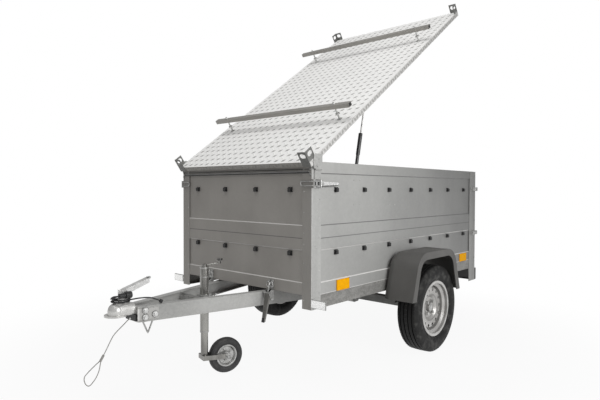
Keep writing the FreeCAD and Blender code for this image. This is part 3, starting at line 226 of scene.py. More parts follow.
class Graph(Nodes):
    """A material's node tree round its Principled shader."""

    def __init__(self, name: str) -> None:
        """Start a new material and split its object coordinates.

        Args:
            name: The material's name.
        """
        self.material = bpy.data.materials.new(name)
        self.material.use_nodes = True
        super().__init__(self.material.node_tree)
        self.shader = self.tree.nodes["Principled BSDF"]
        self.place = self.node("ShaderNodeTexCoord").outputs["Object"]
        axes = self.node("ShaderNodeSeparateXYZ", inputs={0: self.place})
        self.x, self.y, self.z = (Value(self, axes.outputs[index]) for index in range(3))

    def noise(self, scale: float, stretch: Point = (1, 1, 1), detail: float = 3.0) -> Value:
        """Fractal noise over the object's own place.

        Args:
            scale: How fine it is, per metre.
            stretch: A factor on each axis.
            detail: How many octaves it has.

        Returns:
            A value round a half.
        """
        mapped = self.node("ShaderNodeMapping", inputs={"Vector": self.place, "Scale": tuple(stretch)})
        noise = self.node("ShaderNodeTexNoise", inputs={"Vector": mapped.outputs[0], "Scale": scale,
                                                        "Detail": detail})
        return Value(self, noise.outputs["Fac"])

    def cells(self, scale: float) -> Value:
        """Random grey cells, as the flowers of a zinc coat.

        Args:
            scale: How fine they are, per metre.

        Returns:
            Each cell's own value from 0 to 1.
        """
        cells = self.node("ShaderNodeTexVoronoi", inputs={"Vector": self.place, "Scale": scale})
        split = self.node("ShaderNodeSeparateColor", inputs={0: cells.outputs["Color"]})
        return Value(self, split.outputs[0])

    def mix(self, factor: Any, first: Any, second: Any) -> bpy.types.NodeSocket:
        """Blend two colours.

        Args:
            factor: How much of the second shows.
            first: A colour or a link.
            second: A colour or a link.

        Returns:
            The blended colour.
        """
        node = self.node("ShaderNodeMix", {"data_type": "RGBA"})
        self.feed(node.inputs[0], factor)
        for index, colour in ((6, first), (7, second)):
            self.feed(node.inputs[index], (*colour, 1.0) if isinstance(colour, tuple) else colour)
        return node.outputs[2]

    def bump(self, height: Any, distance: float) -> None:
        """Raise the surface's normal by a height map.

        Args:
            height: The map.
            distance: The height in metres that a whole step stands for.
        """
        node = self.node("ShaderNodeBump", inputs={"Height": height, "Distance": distance})
        self.feed(self.shader.inputs["Normal"], node.outputs[0])

    def colour(self, colour: Any) -> None:
        """Set the base colour."""
        self.feed(self.shader.inputs["Base Color"], colour)

    def roughness(self, value: Any) -> None:
        """Set the roughness."""
        self.feed(self.shader.inputs["Roughness"], value)


@dataclass(frozen=True)
class Finish:
    """A surface with a mottled colour, an uneven gloss and a fine relief."""

    name: str
    light: Triple
    dark: Triple
    metallic: float = 0.0
    rough: float = 0.5
    rough_spread: float = 0.15
    mottle: float = 9.0
    stretch: Triple = (1.0, 1.0, 1.0)
    clouds: Pair = (0.3, 0.7)
    grain: float = 400.0
    grain_height: float = 0.0004
    coat: float = 0.0
    specular: float = 0.5

    def tint(self, graph: Graph) -> Any:
        """The surface's mottled colour.

        Args:
            graph: The material's nodes.

        Returns:
            The colour's socket.
        """
        return graph.mix(graph.noise(self.mottle, self.stretch).ramp(*self.clouds), self.light, self.dark)

    def relief(self, graph: Graph) -> Value:
        """The height map of the grain."""
        return graph.noise(self.grain, detail=2.0)

    def material(self) -> bpy.types.Material:
        """Build the nodes.

        Returns:
            The finished material.
        """
        graph = Graph(self.name)
        graph.colour(self.tint(graph))
        gloss = graph.noise(self.mottle * 2.0, self.stretch)
        graph.roughness((gloss - 0.5) * self.rough_spread + self.rough)
        graph.bump(self.relief(graph), self.grain_height)
        for socket, value in (("Metallic", self.metallic), ("Coat Weight", self.coat),
                              ("Specular IOR Level", self.specular)):
            graph.feed(graph.shader.inputs[socket], value)
        return graph.material


@dataclass(frozen=True)
class Spangle(Finish):
    """Hot-dip zinc with faint crystals and cloudy patches."""

    clouds: Pair = (0.25, 0.75)
    crystals: float = 90.0
    crystal_share: float = 0.35

    def tint(self, graph: Graph) -> Any:
        """Clouds with crystals laid over them.

        Args:
            graph: The material's nodes.

        Returns:
            The colour's socket.
        """
        clouds = graph.noise(self.mottle, self.stretch, detail=5.0).ramp(*self.clouds)
        share = clouds * (1.0 - self.crystal_share) + graph.cells(self.crystals) * self.crystal_share
        return graph.mix(share, self.light, self.dark)


@dataclass(frozen=True)
class FoldedSheet(Spangle):
    """Galvanised wall sheet: upright rolling streaks, with painted highlights and painted shade lines at the
    folds and painted shade towards the tail end.
    """

    streaks: float = 16.0
    streak_stretch: Triple = (1.0, 1.0, 0.02)
    streak_ramp: Pair = (0.35, 0.7)
    streak_share: float = 0.22
    # The folds' colours are painted light: bright lines are painted highlights on beads that face the light,
    # dark lines are painted shade under beads, and the tail's shade is painted fall-off of the light towards
    # the rear.
    painted_highlight_folds: tuple[float, ...] = ()
    painted_shade_folds: tuple[float, ...] = ()
    fold_half: float = 0.0035
    bright: Triple = (0.75, 0.74, 0.72)
    fold_highlight_share: float = 0.8
    shade: Triple = (0.10, 0.10, 0.10)
    shade_share: float = 0.7
    painted_tail_shade: float = 0.0
    tail: Pair = (0.7, -1.4)

    def tint(self, graph: Graph) -> Any:
        """Streaks and clouds, with painted highlights and painted shade lines at the folds, and painted shade
        towards the tail.

        Args:
            graph: The material's nodes.

        Returns:
            The colour's socket.
        """
        base = Spangle.tint(self, graph)
        streaks = graph.noise(self.streaks, self.streak_stretch, detail=4.0).ramp(*self.streak_ramp)
        base = graph.mix(streaks * self.streak_share, base, self.dark)
        # Painted shade that grows towards the rear.
        if self.painted_tail_shade:
            base = graph.mix(graph.x.ramp(*self.tail) * self.painted_tail_shade, base, self.shade)
        # Painted highlights and painted shade lines along the folds.
        for places, colour, share in ((self.painted_highlight_folds, self.bright, self.fold_highlight_share),
                                      (self.painted_shade_folds, self.shade, self.shade_share)):
            for place in places:
                base = graph.mix(graph.z.line_at(place, self.fold_half) * share, base, colour)
        return base


@dataclass(frozen=True)
class CornerFinish(Spangle):
    """Zinc with painted shade on its front face, in the front board's darker grey, and a painted highlight
    along the corner edge.
    """

    face: float = 0.6288
    blend: float = 0.0006
    # front is the front face's painted shade; the corner's colour below is a painted highlight.
    front: Triple = (0.345, 0.330, 0.308)
    corner: float = 0.5632
    corner_band: Pair = (0.0030, 0.0024)
    corner_highlight: Triple = (0.70, 0.70, 0.69)
    corner_highlight_share: float = 0.6

    def tint(self, graph: Graph) -> Any:
        """The side colour and the front face's painted shade, with the corner's painted highlight over both.

        Args:
            graph: The material's nodes.

        Returns:
            The colour's socket.
        """
        # Painted shade on the front face.
        ahead = graph.x.ramp(self.face - self.blend, self.face)
        base = graph.mix(ahead, Spangle.tint(self, graph), self.front)
        # A painted highlight along the corner edge.
        if self.corner_highlight_share:
            start, whole = self.corner_band
            edge = (graph.x.ramp(self.face - start, self.face - whole)
                    * graph.y.magnitude().ramp(self.corner, self.corner + self.blend))
            base = graph.mix(edge * self.corner_highlight_share, base, self.corner_highlight)
        return base


@dataclass(frozen=True)
class CouplingFinish(Finish):
    """Bright cast zinc on the dome, duller on the cheeks beside the beams."""

    behind: float = 1.3335
    blend: float = 0.001
    beside: Pair = (0.048, 0.050)
    cheek: Triple = (0.47, 0.465, 0.45)

    def tint(self, graph: Graph) -> Any:
        """The dome's zinc with the cheeks' grey.

        Args:
            graph: The material's nodes.

        Returns:
            The colour's socket.
        """
        cheeks = (graph.x.ramp(self.behind, self.behind - self.blend)
                  * graph.y.magnitude().ramp(*self.beside))
        return graph.mix(cheeks, Finish.tint(self, graph), self.cheek)


@dataclass(frozen=True)
class LidFinish(Finish):
    """Bright tread sheet with painted shade on its turned-down flanges, darkest on the front flange."""

    # flange and front are painted shade colours for the side flanges and the front flange.
    flange: Triple = (0.60, 0.595, 0.58)
    side: float = 0.5725
    front: Triple = (0.37, 0.353, 0.330)
    reach: float = 0.0675
    blend: float = 0.0008

    def tint(self, graph: Graph) -> Any:
        """The sheet's clouds, with painted shade on the side flanges and on the front flange.

        Args:
            graph: The material's nodes.

        Returns:
            The colour's socket.
        """
        # Painted shade on the side flanges, then on the front flange.
        beside = graph.y.magnitude().ramp(self.side, self.side + self.blend)
        base = graph.mix(beside, Finish.tint(self, graph), self.flange)
        lean = math.radians(LID_OPEN_ANGLE)
        ahead = (graph.x - LID_HINGE[0]) * math.cos(lean) - (graph.z - LID_HINGE[1]) * math.sin(lean)
        return graph.mix(ahead.ramp(self.reach, self.reach + self.blend), base, self.front)


@dataclass(frozen=True)
class RubberFinish(Finish):
    """Tyre rubber with a dusty bloom on its walls and a darker tread."""

    bloom: Triple = (0.055, 0.053, 0.05)
    dust: float = 24.0
    dust_ramp: Pair = (0.45, 0.75)
    middle: float = 0.0
    tread_half: float = 0.0
    tread_blend: float = 0.012

    def tint(self, graph: Graph) -> Any:
        """Black rubber with dust in broad patches, none of it on the tread.

        Args:
            graph: The material's nodes.

        Returns:
            The colour's socket.
        """
        dust = graph.noise(self.dust, detail=6.0).ramp(*self.dust_ramp)
        if self.tread_half:
            from_middle = (graph.y.magnitude() - self.middle).magnitude()
            dust = dust * from_middle.ramp(self.tread_half, self.tread_half + self.tread_blend)
        return graph.mix(dust, Finish.tint(self, graph), self.bloom)


@dataclass(frozen=True)
class RimFinish(Finish):
    """Silver paint on a pressed rim, with painted shade in its folds and over its disc.

    Each crease is a ring's radius, half its width and how dark it is.
    """

    disc: Pair = (0.098, 0.112)
    disc_shade_share: float = 0.75
    creases: tuple[Triple, ...] = ((0.142, 0.004, 0.35), (0.1625, 0.003, 0.3), (0.086, 0.005, 0.5),
                                   (0.066, 0.004, 0.3), (0.030, 0.004, 0.6))
    shade: Triple = (0.10, 0.10, 0.098)

    def tint(self, graph: Graph) -> Any:
        """Paint with painted shade in dark rings at the folds and over the disc.

        Args:
            graph: The material's nodes.

        Returns:
            The colour's socket.
        """
        across, over = graph.x - WHEEL_CENTRE[0], graph.z - WHEEL_CENTRE[2]
        out = (across * across + over * over).root()
        # Painted shade over the disc inside the lip.
        disc = (1.0 - out.ramp(*self.disc)) * self.disc_shade_share
        base = graph.mix(disc, Finish.tint(self, graph), self.dark)
        for radius, half, share in self.creases:
            base = graph.mix(out.line_at(radius, half) * share, base, self.shade)
        return base


@dataclass(frozen=True)
class PrismFinish(Finish):
    """A reflector's or lamp's plastic with small cube corners behind it."""

    pitch: float = 260.0

    def relief(self, graph: Graph) -> Value:
        """Rows of little cells."""
        return graph.cells(self.pitch)


@dataclass(frozen=True)
class BoardFinish(Finish):
    """Film-faced plywood with a pressed mesh."""

    mesh: float = 60.0

    def relief(self, graph: Graph) -> Value:
        """A fine wire mesh, pressed in.

        Args:
            graph: The material's nodes.

        Returns:
            The height map.
        """
        along, across = (graph.node("ShaderNodeTexWave", {"bands_direction": axis},
                                    {"Vector": graph.place, "Scale": self.mesh}) for axis in "XY")
        return Value(graph, along.outputs["Fac"]) * Value(graph, across.outputs["Fac"])


# The finishes: a name, the light and the dark colour, then what differs from the class's own values.
# The side sheet: its bright folds are painted highlights, its dark folds are painted shade lines, and its tail
# has painted shade towards the rear.
SHEET_SIDE = FoldedSheet("side_sheet", (0.47, 0.47, 0.455), (0.36, 0.36, 0.35), metallic=0.15, rough=0.42,
                         mottle=2.2, crystals=70.0, crystal_share=0.2, grain=260.0, grain_height=0.0003,
                         painted_highlight_folds=(0.553, 0.727, 0.4875), painted_shade_folds=(0.8605, 0.791, 1.139),
                         painted_tail_shade=0.60)
# The front board's sheet is a darker, warmer copy of the side sheet, painted shade on the forward-facing board;
# its bright folds are painted highlights and its dark fold is a painted shade line.
SHEET_FRONT_SHADE = FoldedSheet("front_sheet_painted_shade", (0.412, 0.393, 0.366), (0.335, 0.318, 0.296), metallic=0.1,
                          rough=0.45, mottle=3.0, crystals=80.0, crystal_share=0.15, grain=260.0,
                          grain_height=0.0003, painted_highlight_folds=(0.553, 0.727, 0.8605), painted_shade_folds=(0.791,),
                          fold_half=0.0032)
STEEL = Spangle("galvanised_section", (0.50, 0.50, 0.485), (0.34, 0.34, 0.33), metallic=0.2, rough=0.42,
                mottle=14.0, crystals=120.0, crystal_share=0.45)
# A darker copy of the section zinc: painted shade on parts under the bed, on the front seam and on the washers
# under the coupling's bolts.
UNDER_SHADE = Spangle("galvanised_chassis_painted_shade", (0.30, 0.30, 0.29), (0.20, 0.20, 0.195), metallic=0.2, rough=0.5,
                mottle=12.0, crystals=120.0)
# The front posts: painted shade on their front faces and a painted highlight on their corners.
POST = CornerFinish("galvanised_post", (0.50, 0.50, 0.485), (0.37, 0.37, 0.36), metallic=0.2, rough=0.42,
                    mottle=9.0, stretch=(1.0, 1.0, 0.12), crystals=120.0, crystal_share=0.3)
# The rear posts' zinc is a darker copy of the front posts' zinc: painted shade towards the rear.
REAR_POST_SHADE = Spangle("rear_post_zinc_painted_shade", (0.32, 0.32, 0.31), (0.23, 0.23, 0.223), metallic=0.2, rough=0.42,
                    mottle=9.0, stretch=(1.0, 1.0, 0.12), crystals=120.0, crystal_share=0.3)
# The latches: painted shade on the straps' front faces, and no corner highlight.
LATCH = CornerFinish("latch_zinc", (0.58, 0.58, 0.57), (0.34, 0.34, 0.33), metallic=0.5, rough=0.32,
                     mottle=60.0, face=0.6291, front=(0.26, 0.25, 0.235), corner_highlight_share=0.0)
BRIGHT = Finish("polished_zinc", (0.80, 0.80, 0.79), (0.62, 0.62, 0.61), metallic=0.35, rough=0.28,
                mottle=50.0)
RAIL = Spangle("galvanised_rail", (0.34, 0.335, 0.32), (0.17, 0.168, 0.16), metallic=0.2, rough=0.5,
               mottle=18.0, stretch=(0.7, 1.0, 1.6), crystals=140.0, crystal_share=0.5)
BEAM = Spangle("galvanised_drawbar", (0.50, 0.50, 0.485), (0.34, 0.34, 0.33), metallic=0.2, rough=0.38,
               mottle=7.0, stretch=(0.4, 1.0, 1.5), crystals=110.0, crystal_share=0.3)
ZINC = Finish("bright_zinc", (0.56, 0.56, 0.55), (0.34, 0.34, 0.33), metallic=0.6, rough=0.3, mottle=40.0)
JOCKEY = Finish("jockey_zinc", (0.37, 0.365, 0.345), (0.20, 0.195, 0.185), metallic=0.8, rough=0.27,
                mottle=14.0, stretch=(1.0, 1.0, 0.25))
BAR = Finish("zinc_tube", (0.39, 0.375, 0.345), (0.29, 0.28, 0.26), metallic=0.35, rough=0.4, mottle=10.0,
             stretch=(1.0, 0.2, 1.0))
TREAD = LidFinish("tread_sheet", (0.94, 0.935, 0.92), (0.89, 0.885, 0.87), metallic=0.05, rough=0.5,
                  mottle=2.5, specular=0.2)
# The slanted lozenges' dark tone and the front flange's are painted shade; the cross lozenges' light tone is a
# painted highlight.
SLANT_TIPS_SHADE = Finish("tread_tips_painted_shade", (0.46, 0.455, 0.44), (0.36, 0.355, 0.34), metallic=0.2, rough=0.35, mottle=60.0)
CROSS_TIPS_HIGHLIGHT = Finish("cross_tips_painted_highlight", (0.97, 0.965, 0.95), (0.93, 0.925, 0.91), metallic=0.05, rough=0.5,
                    mottle=60.0, specular=0.2)
FLANGE_TIPS_SHADE = Finish("flange_tips_painted_shade", (0.36, 0.35, 0.33), (0.20, 0.195, 0.18), metallic=0.3, rough=0.35,
                     mottle=60.0)
BRACKET = Spangle("bracket_zinc", (0.22, 0.22, 0.21), (0.15, 0.15, 0.143), metallic=0.2, rough=0.4,
                  mottle=25.0, crystals=150.0)
GUARD = Finish("guard_plastic", (0.106, 0.103, 0.098), (0.084, 0.082, 0.078), rough=0.52, mottle=4.0,
               grain=900.0, grain_height=0.0004)
BLACK = Finish("black_moulding", (0.022, 0.022, 0.022), (0.014, 0.014, 0.014), rough=0.45, mottle=40.0)
PAINT = Finish("black_paint", (0.030, 0.030, 0.030), (0.020, 0.020, 0.020), rough=0.35, mottle=15.0, coat=0.2)
ROD = Finish("bright_rod", (0.42, 0.41, 0.39), (0.32, 0.31, 0.30), metallic=0.9, rough=0.2, mottle=30.0)
RIM = RimFinish("silver_paint", (0.56, 0.555, 0.54), (0.42, 0.41, 0.395), metallic=0.45, rough=0.34,
                mottle=12.0, coat=0.15)
TYRE = RubberFinish("tyre", (0.009, 0.009, 0.0085), (0.005, 0.005, 0.005), rough=0.62,
                    bloom=(0.056, 0.055, 0.052), middle=WHEEL_CENTRE[1], tread_half=0.052, specular=0.3,
                    mottle=20.0, grain=700.0, grain_height=0.0005)
JOCKEY_TYRE = RubberFinish("jockey_rubber", (0.045, 0.045, 0.046), (0.030, 0.030, 0.031), rough=0.6,
                           mottle=25.0, grain=700.0)
COUPLING = CouplingFinish("coupling_zinc", (0.74, 0.735, 0.715), (0.60, 0.595, 0.58), metallic=0.5, rough=0.36,
                          mottle=18.0, grain=500.0, grain_height=0.0002)
CABLE = Finish("cable_sheath", (0.50, 0.49, 0.46), (0.38, 0.37, 0.35), metallic=0.2, rough=0.35, mottle=300.0)
LEAD = Finish("lead_rubber", (0.030, 0.030, 0.032), (0.020, 0.020, 0.021), rough=0.5, mottle=60.0)
AMBER = PrismFinish("amber_reflector", (0.97, 0.46, 0.003), (0.90, 0.40, 0.002), rough=0.5, mottle=60.0,
                    specular=0.08, grain_height=0.0012)
CLEAR = PrismFinish("clear_reflector", (0.95, 0.95, 0.94), (0.90, 0.90, 0.89), metallic=0.85, rough=0.16,
                    mottle=60.0, grain_height=0.0004)
RED = PrismFinish("red_lens", (0.50, 0.008, 0.008), (0.36, 0.006, 0.006), rough=0.25, mottle=50.0, specular=0.2,
                  grain_height=0.0014)
BOARD = BoardFinish("film_board", (0.075, 0.045, 0.03), (0.045, 0.028, 0.02), rough=0.5, mottle=5.0,
                    grain_height=0.0012)


class Paintbox:
    """Makes each finish once and puts it on pieces and nodes."""

    def __init__(self) -> None:
        """Start with no material made."""
        self.made: dict[str, bpy.types.Material] = {}

    def of(self, finish: Finish) -> bpy.types.Material:
        """The material of a finish, made when it is first asked for.

        Args:
            finish: The finish.

        Returns:
            Its one material.
        """
        if finish.name not in self.made:
            self.made[finish.name] = finish.material()
        return self.made[finish.name]

    def dress(self, finish: Finish, nodes: Iterable[str]) -> None:
        """Give a finish to CAD nodes.

        Args:
            finish: What they are made of.
            nodes: The nodes' names.
        """
        for name in nodes:
            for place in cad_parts[name].material_slots:
                place.material = self.of(finish)
            LOG.info("%s is dressed in %s", name, finish.name)


PAINTS = Paintbox()


class Maker:
    """Collects faces in the row frame and turns them into one piece.

    The shares here are of a rod's radius and length, of a bolt's size, and of a rivet's radius.
    """

    block_faces: tuple[tuple[int, ...], ...] = (
        (0, 1, 3, 2), (4, 6, 7, 5), (0, 4, 5, 1), (2, 3, 7, 6), (0, 2, 6, 4), (1, 5, 7, 3))
    rod_bevel: Pair = (0.18, 0.2)
    washer_radius: float = 0.72
    washer_height: float = 0.12
    bolt_crown: Pair = (0.8, 0.42)
    dome_bend: Pair = (0.6, 0.82)
    dome_top: float = 0.35

    def __init__(self) -> None:
        """Start empty."""
        self.points: list[Vector] = []
        self.faces: list[tuple[int, ...]] = []

    def add(self, points: Sequence[Point], faces: Iterable[Sequence[int]]) -> None:
        """Add points and the faces between them.

        Args:
            points: Places in the row frame.
            faces: Each face's corners, counted from the first of these points.
        """
        start = len(self.points)
        self.points += [Vector(point) for point in points]
        self.faces += [tuple(start + index for index in face) for face in faces]

    def block(self, centre: Point, sizes: Point, turn: Optional[Matrix] = None) -> None:
        """Add a box.

        Args:
            centre: Its middle.
            sizes: Its three sizes.
            turn: A rotation about its middle.
        """
        half = Vector(sizes) / 2
        corners = [Vector((x * half.x, y * half.y, z * half.z))
                   for x in (-1, 1) for y in (-1, 1) for z in (-1, 1)]
        self.add([(turn @ corner if turn else corner) + Vector(centre) for corner in corners], self.block_faces)

    def spun(self, origin: Point, axis: Point, profile: Sequence[Pair], steps: int,
             closed: bool = False) -> None:
        """Turn a profile about an axis.

        Args:
            origin: A point on the axis.
            axis: The axis.
            profile: Pairs of distance along the axis and radius.
            steps: How many flats go round.
            closed: Whether the profile's last point joins its first.
        """
        along = Vector(axis).normalized()
        first = along.orthogonal().normalized()
        second = along.cross(first)
        rings = len(profile)
        points, faces = [], []
        for step in range(steps):
            angle = 2 * math.pi * step / steps
            out = first * math.cos(angle) + second * math.sin(angle)
            points += [Vector(origin) + along * far + out * radius for far, radius in profile]
        for step in range(steps):
            here, there = step * rings, (step + 1) % steps * rings
            for ring in range(rings if closed else rings - 1):
                other = (ring + 1) % rings
                faces.append((here + ring, there + ring, there + other, here + other))
        if not closed:
            faces.append(tuple(step * rings for step in reversed(range(steps))))
            faces.append(tuple(step * rings + rings - 1 for step in range(steps)))
        self.add(points, faces)

    def rod(self, start: Point, end: Point, radius: float, steps: int = 16) -> None:
        """Add a round bar with a small bevel at each end.

        Args:
            start: The middle of its first end.
            end: The middle of its other end.
            radius: Its radius.
            steps: How many flats go round.
        """
        run = Vector(end) - Vector(start)
        edge = min(radius * self.rod_bevel[0], run.length * self.rod_bevel[1])
        profile = [(0, radius - edge), (edge, radius), (run.length - edge, radius), (run.length, radius - edge)]
        self.spun(start, run, profile, steps)

    def bolt(self, place: Point, axis: Point, size: float, tall: float = 0.6) -> None:
        """Add a hexagon head on a washer.

        Args:
            place: Where the washer lies.
            axis: The way the head points.
            size: The head's width across its corners.
            tall: The head's height as a share of its width.
        """
        washer, top = size * self.washer_height, size * tall
        around = size * self.washer_radius
        self.spun(place, axis, [(0, around), (washer, around)], steps=16)
        start = Vector(place) + Vector(axis).normalized() * washer
        rise, crown = self.bolt_crown
        self.spun(start, axis, [(0, size / 2), (top * rise, size / 2), (top, size * crown)], steps=6)

    def dome(self, place: Point, axis: Point, radius: float, rise: float = 0.5) -> None:
        """Add a rivet's head.

        Args:
            place: Its middle on the sheet.
            axis: The way it points.
            radius: Its radius.
            rise: Its height as a share of its radius.
        """
        bend, narrow = self.dome_bend
        profile = [(0.0, radius), (radius * rise * bend, radius * narrow),
                   (radius * rise, radius * self.dome_top)]
        self.spun(place, axis, profile, steps=10)

    def plate(self, outline: Sequence[Point], run: Point) -> None:
        """Add an outline pushed along a vector.

        Args:
            outline: The corners of its first face, in order.
            run: From that face to the other.
        """
        count = len(outline)
        points = [Vector(point) for point in outline]
        points += [point + Vector(run) for point in points]
        faces: list[Sequence[int]] = [tuple(reversed(range(count))), tuple(range(count, 2 * count))]
        faces += [(index, (index + 1) % count, (index + 1) % count + count, index + count)
                  for index in range(count)]
        self.add(points, faces)

    def tube(self, route: Sequence[Point], radius: float, steps: int = 8) -> None:
        """Add a bent bar through points.

        Args:
            route: The points on its middle line.
            radius: Its radius.
            steps: How many flats go round.
        """
        places = [Vector(point) for point in route]
        points: list[Vector] = []
        side = (places[1] - places[0]).orthogonal().normalized()
        for index, place in enumerate(places):
            ahead = places[min(index + 1, len(places) - 1)] - places[max(index - 1, 0)]
            ahead.normalize()
            side = (side - ahead * side.dot(ahead)).normalized()
            up = ahead.cross(side)
            for step in range(steps):
                angle = 2 * math.pi * step / steps
                points.append(place + (side * math.cos(angle) + up * math.sin(angle)) * radius)
        faces: list[Sequence[int]] = []
        for ring in range(len(places) - 1):
            here = ring * steps
            faces += [(here + step, here + (step + 1) % steps, here + steps + (step + 1) % steps,
                       here + steps + step) for step in range(steps)]
        faces.append(tuple(reversed(range(steps))))
        faces.append(tuple(range(len(points) - steps, len(points))))
        self.add(points, faces)

    def piece(self, name: str, body: str, finish: Finish, slot: Slot, bevel: float = 0.0,
              replaces: Sequence[str] = (), angle: float = 35.0) -> None:
        """Make the piece and let it ride.

        Args:
            name: The piece's name.
            body: The CAD body that it rides on.
            finish: What it is made of.
            slot: The record's slot of that finish; not used.
            bevel: The width of a bevel on its hard edges.
            replaces: CAD nodes that it stands for.
            angle: Edges sharper than this, in degrees, stay hard.
        """
        mesh = bpy.data.meshes.new(name)
        mesh.from_pydata(self.points, [], self.faces)
        mesh.validate()
        mesh.materials.append(PAINTS.of(finish))
        mesh.shade_smooth()
        mesh.set_sharp_from_angle(angle=math.radians(angle))
        piece = bpy.data.objects.new(name, mesh)
        bpy.context.scene.collection.objects.link(piece)
        if bevel:
            rounding = piece.modifiers.new("bevel", "BEVEL")
            rounding.width, rounding.segments, rounding.limit_method = bevel, 2, "ANGLE"
            rounding.harden_normals = True
        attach(piece, body)
        if replaces:
            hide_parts(*replaces)
        LOG.info("%s rides on %s with %d faces", name, body, len(self.faces))


@dataclass(frozen=True)
class CameraRig:
    """The photograph's viewpoint, solved from the bed's edges.

    The place is in metres, the turns in radians, and the lens and the sensor in millimetres.
    """

    place: Triple = (2.6729, 2.3133, 1.0549)
    yaw: float = 3.8718
    pitch: float = -0.0214
    roll: float = 0.0031
    lens: float = 30.79
    sensor: float = 36.0

    def build(self) -> None:
        """Make the camera and use it."""
        ahead = Vector((math.cos(self.yaw) * math.cos(self.pitch), math.sin(self.yaw) * math.cos(self.pitch),
                        math.sin(self.pitch)))
        flat = Vector((math.sin(self.yaw), -math.cos(self.yaw), 0.0))
        over = flat.cross(ahead)
        right = flat * math.cos(self.roll) + over * math.sin(self.roll)
        up = over * math.cos(self.roll) - flat * math.sin(self.roll)
        data = bpy.data.cameras.new("view")
        data.lens, data.sensor_width, data.sensor_fit = self.lens, self.sensor, "HORIZONTAL"
        camera = bpy.data.objects.new("view", data)
        camera.matrix_world = Matrix.Translation(Vector(self.place)) @ Matrix(
            (right, up, -ahead)).transposed().to_4x4()
        bpy.context.scene.collection.objects.link(camera)
        bpy.context.scene.camera = camera


def cord_curve(name: str, route: Sequence[Point], diameter: float, finish: Finish) -> bpy.types.Object:
    """Make a cord as one smooth spline.

    Args:
        name: The piece's name.
        route: The spline's control points in the row frame.
        diameter: The cord's thickness.
        finish: What it is made of.

    Returns:
        The curve object.
    """
    data = bpy.data.curves.new(name, "CURVE")
    data.dimensions = "3D"
    spline = data.splines.new("NURBS")
    spline.points.add(len(route) - 1)
    for point, place in zip(spline.points, route):
        point.co = (*place, 1.0)
    spline.order_u = 3
    spline.use_endpoint_u = True
    spline.resolution_u = 6
    data.bevel_depth = diameter / 2
    data.bevel_resolution = 3
    data.use_fill_caps = True
    data.materials.append(PAINTS.of(finish))
    curve = bpy.data.objects.new(name, data)
    bpy.context.scene.collection.objects.link(curve)
    return curve


@dataclass
class SafetyCable:
    """The steel safety cable that hangs from the coupling, with its end loop."""

    diameter: float = 0.005
    length: float = 0.296
    loop_length: float = 0.408
    route: tuple[Triple, ...] = (
        (1.34383, -0.00779, 0.408), (1.34794, -0.02531, 0.398), (1.35252, -0.04478, 0.378),
        (1.36189, -0.0847, 0.344), (1.37149, -0.12558, 0.306), (1.37789, -0.15284, 0.262),
        (1.38338, -0.17621, 0.222), (1.38841, -0.19762, 0.19))
    loop: tuple[Triple, ...] = (
        (1.39342, -0.21899, 0.1621), (1.40142, -0.25302, 0.13361), (1.41024, -0.29061, 0.1017),
        (1.41777, -0.32265, 0.07101), (1.42179, -0.33979, 0.05323), (1.42198, -0.3406, 0.0292),
        (1.41824, -0.32467, 0.01165), (1.41275, -0.30128, 0.01081), (1.4069, -0.27636, 0.03468),
        (1.40083, -0.25054, 0.06489), (1.39601, -0.23002, 0.10094), (1.39383, -0.22071, 0.13174),
        (1.39249, -0.21501, 0.15771))

    def build(self) -> None:
        """Make the hanging run and the loop."""
        run = cord_curve("safety_cable_run", self.route, self.diameter, CABLE)
        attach(run, "drawbar")
        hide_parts("safety_cable")
        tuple(self.route[0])
        loop = cord_curve("safety_cable_loop", self.loop, self.diameter, CABLE)
        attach(loop, "drawbar")
        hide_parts("safety_loop")
        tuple(self.loop[0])
        PAINTS.dress(CABLE, ["cable_ferrule"])
        LOG.info("safety cable made")


@dataclass
class LightingLead:
    """The lighting lead, wound round the coupling's grip, and its plug.

    Each turn is its first and last radius, then its first and last rise over the winding's middle.
    The leading-off points are a radius and a rise.
    """

    diameter: float = 0.007
    length: float = 1.11
    centre: Triple = (1.3975, 0.0, 0.5113)
    start: tuple[Triple, ...] = (
        (1.2195, 0.06424, 0.489), (1.2435, 0.06024, 0.502), (1.2695, 0.05224, 0.511),
        (1.2995, 0.04024, 0.513), (1.3275, 0.02424, 0.511))
    finish: tuple[Triple, ...] = (
        (1.4509, 0.0, 0.522), (1.4512, 0.016, 0.5285), (1.4475, 0.0305, 0.534),
        (1.4395, 0.0392, 0.538), (1.4275, 0.042, 0.5396))
    first_angle: float = 171.0
    step: float = 30.0
    turns: tuple[Quad, ...] = (
        (0.0490, 0.0420, -0.0055, -0.0060), (0.0416, 0.0355, -0.0060, -0.0050),
        (0.0355, 0.0440, -0.0020, 0.0065))
    leading_off: tuple[Pair, ...] = (
        (0.0455, 0.0068), (0.0470, 0.0072), (0.0480, 0.0078), (0.0495, 0.0085), (0.0510, 0.0095))

    def spot(self, radius: float, rise: float, angle: float) -> Triple:
        """One point of the winding.

        Args:
            radius: Its distance from the winding's axis.
            rise: Its height over the winding's middle.
            angle: Its bearing in degrees.

        Returns:
            The point in the row frame.
        """
        around = math.radians(angle)
        return (self.centre[0] + radius * math.cos(around), self.centre[1] + radius * math.sin(around),
                self.centre[2] + rise)

    def wound(self) -> list[Triple]:
        """Wind each turn from its first radius and rise to its last, and lead off.

        Returns:
            The winding's control points.
        """
        per_turn = int(360 / self.step)
        rings: list[Pair] = []
        for first_radius, last_radius, first_rise, last_rise in self.turns:
            for index in range(per_turn):
                share = index / per_turn
                rings.append((first_radius + (last_radius - first_radius) * share,
                              first_rise + (last_rise - first_rise) * share))
        rings += self.leading_off
        return [self.spot(radius, rise, self.first_angle + self.step * index)
                for index, (radius, rise) in enumerate(rings)]

    def build(self) -> None:
        """Make the lead from its grommet to the plug."""
        route = [*self.start, *self.wound(), *self.finish]
        lead = cord_curve("lighting_lead", route, self.diameter, LEAD)
        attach(lead, "drawbar")
        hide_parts("lead", "lead_coil")
        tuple(route[0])
        PAINTS.dress(LEAD, ["lead_grommet"])
        PAINTS.dress(BLACK, ["lead_plug"])
        LOG.info("lighting lead made")


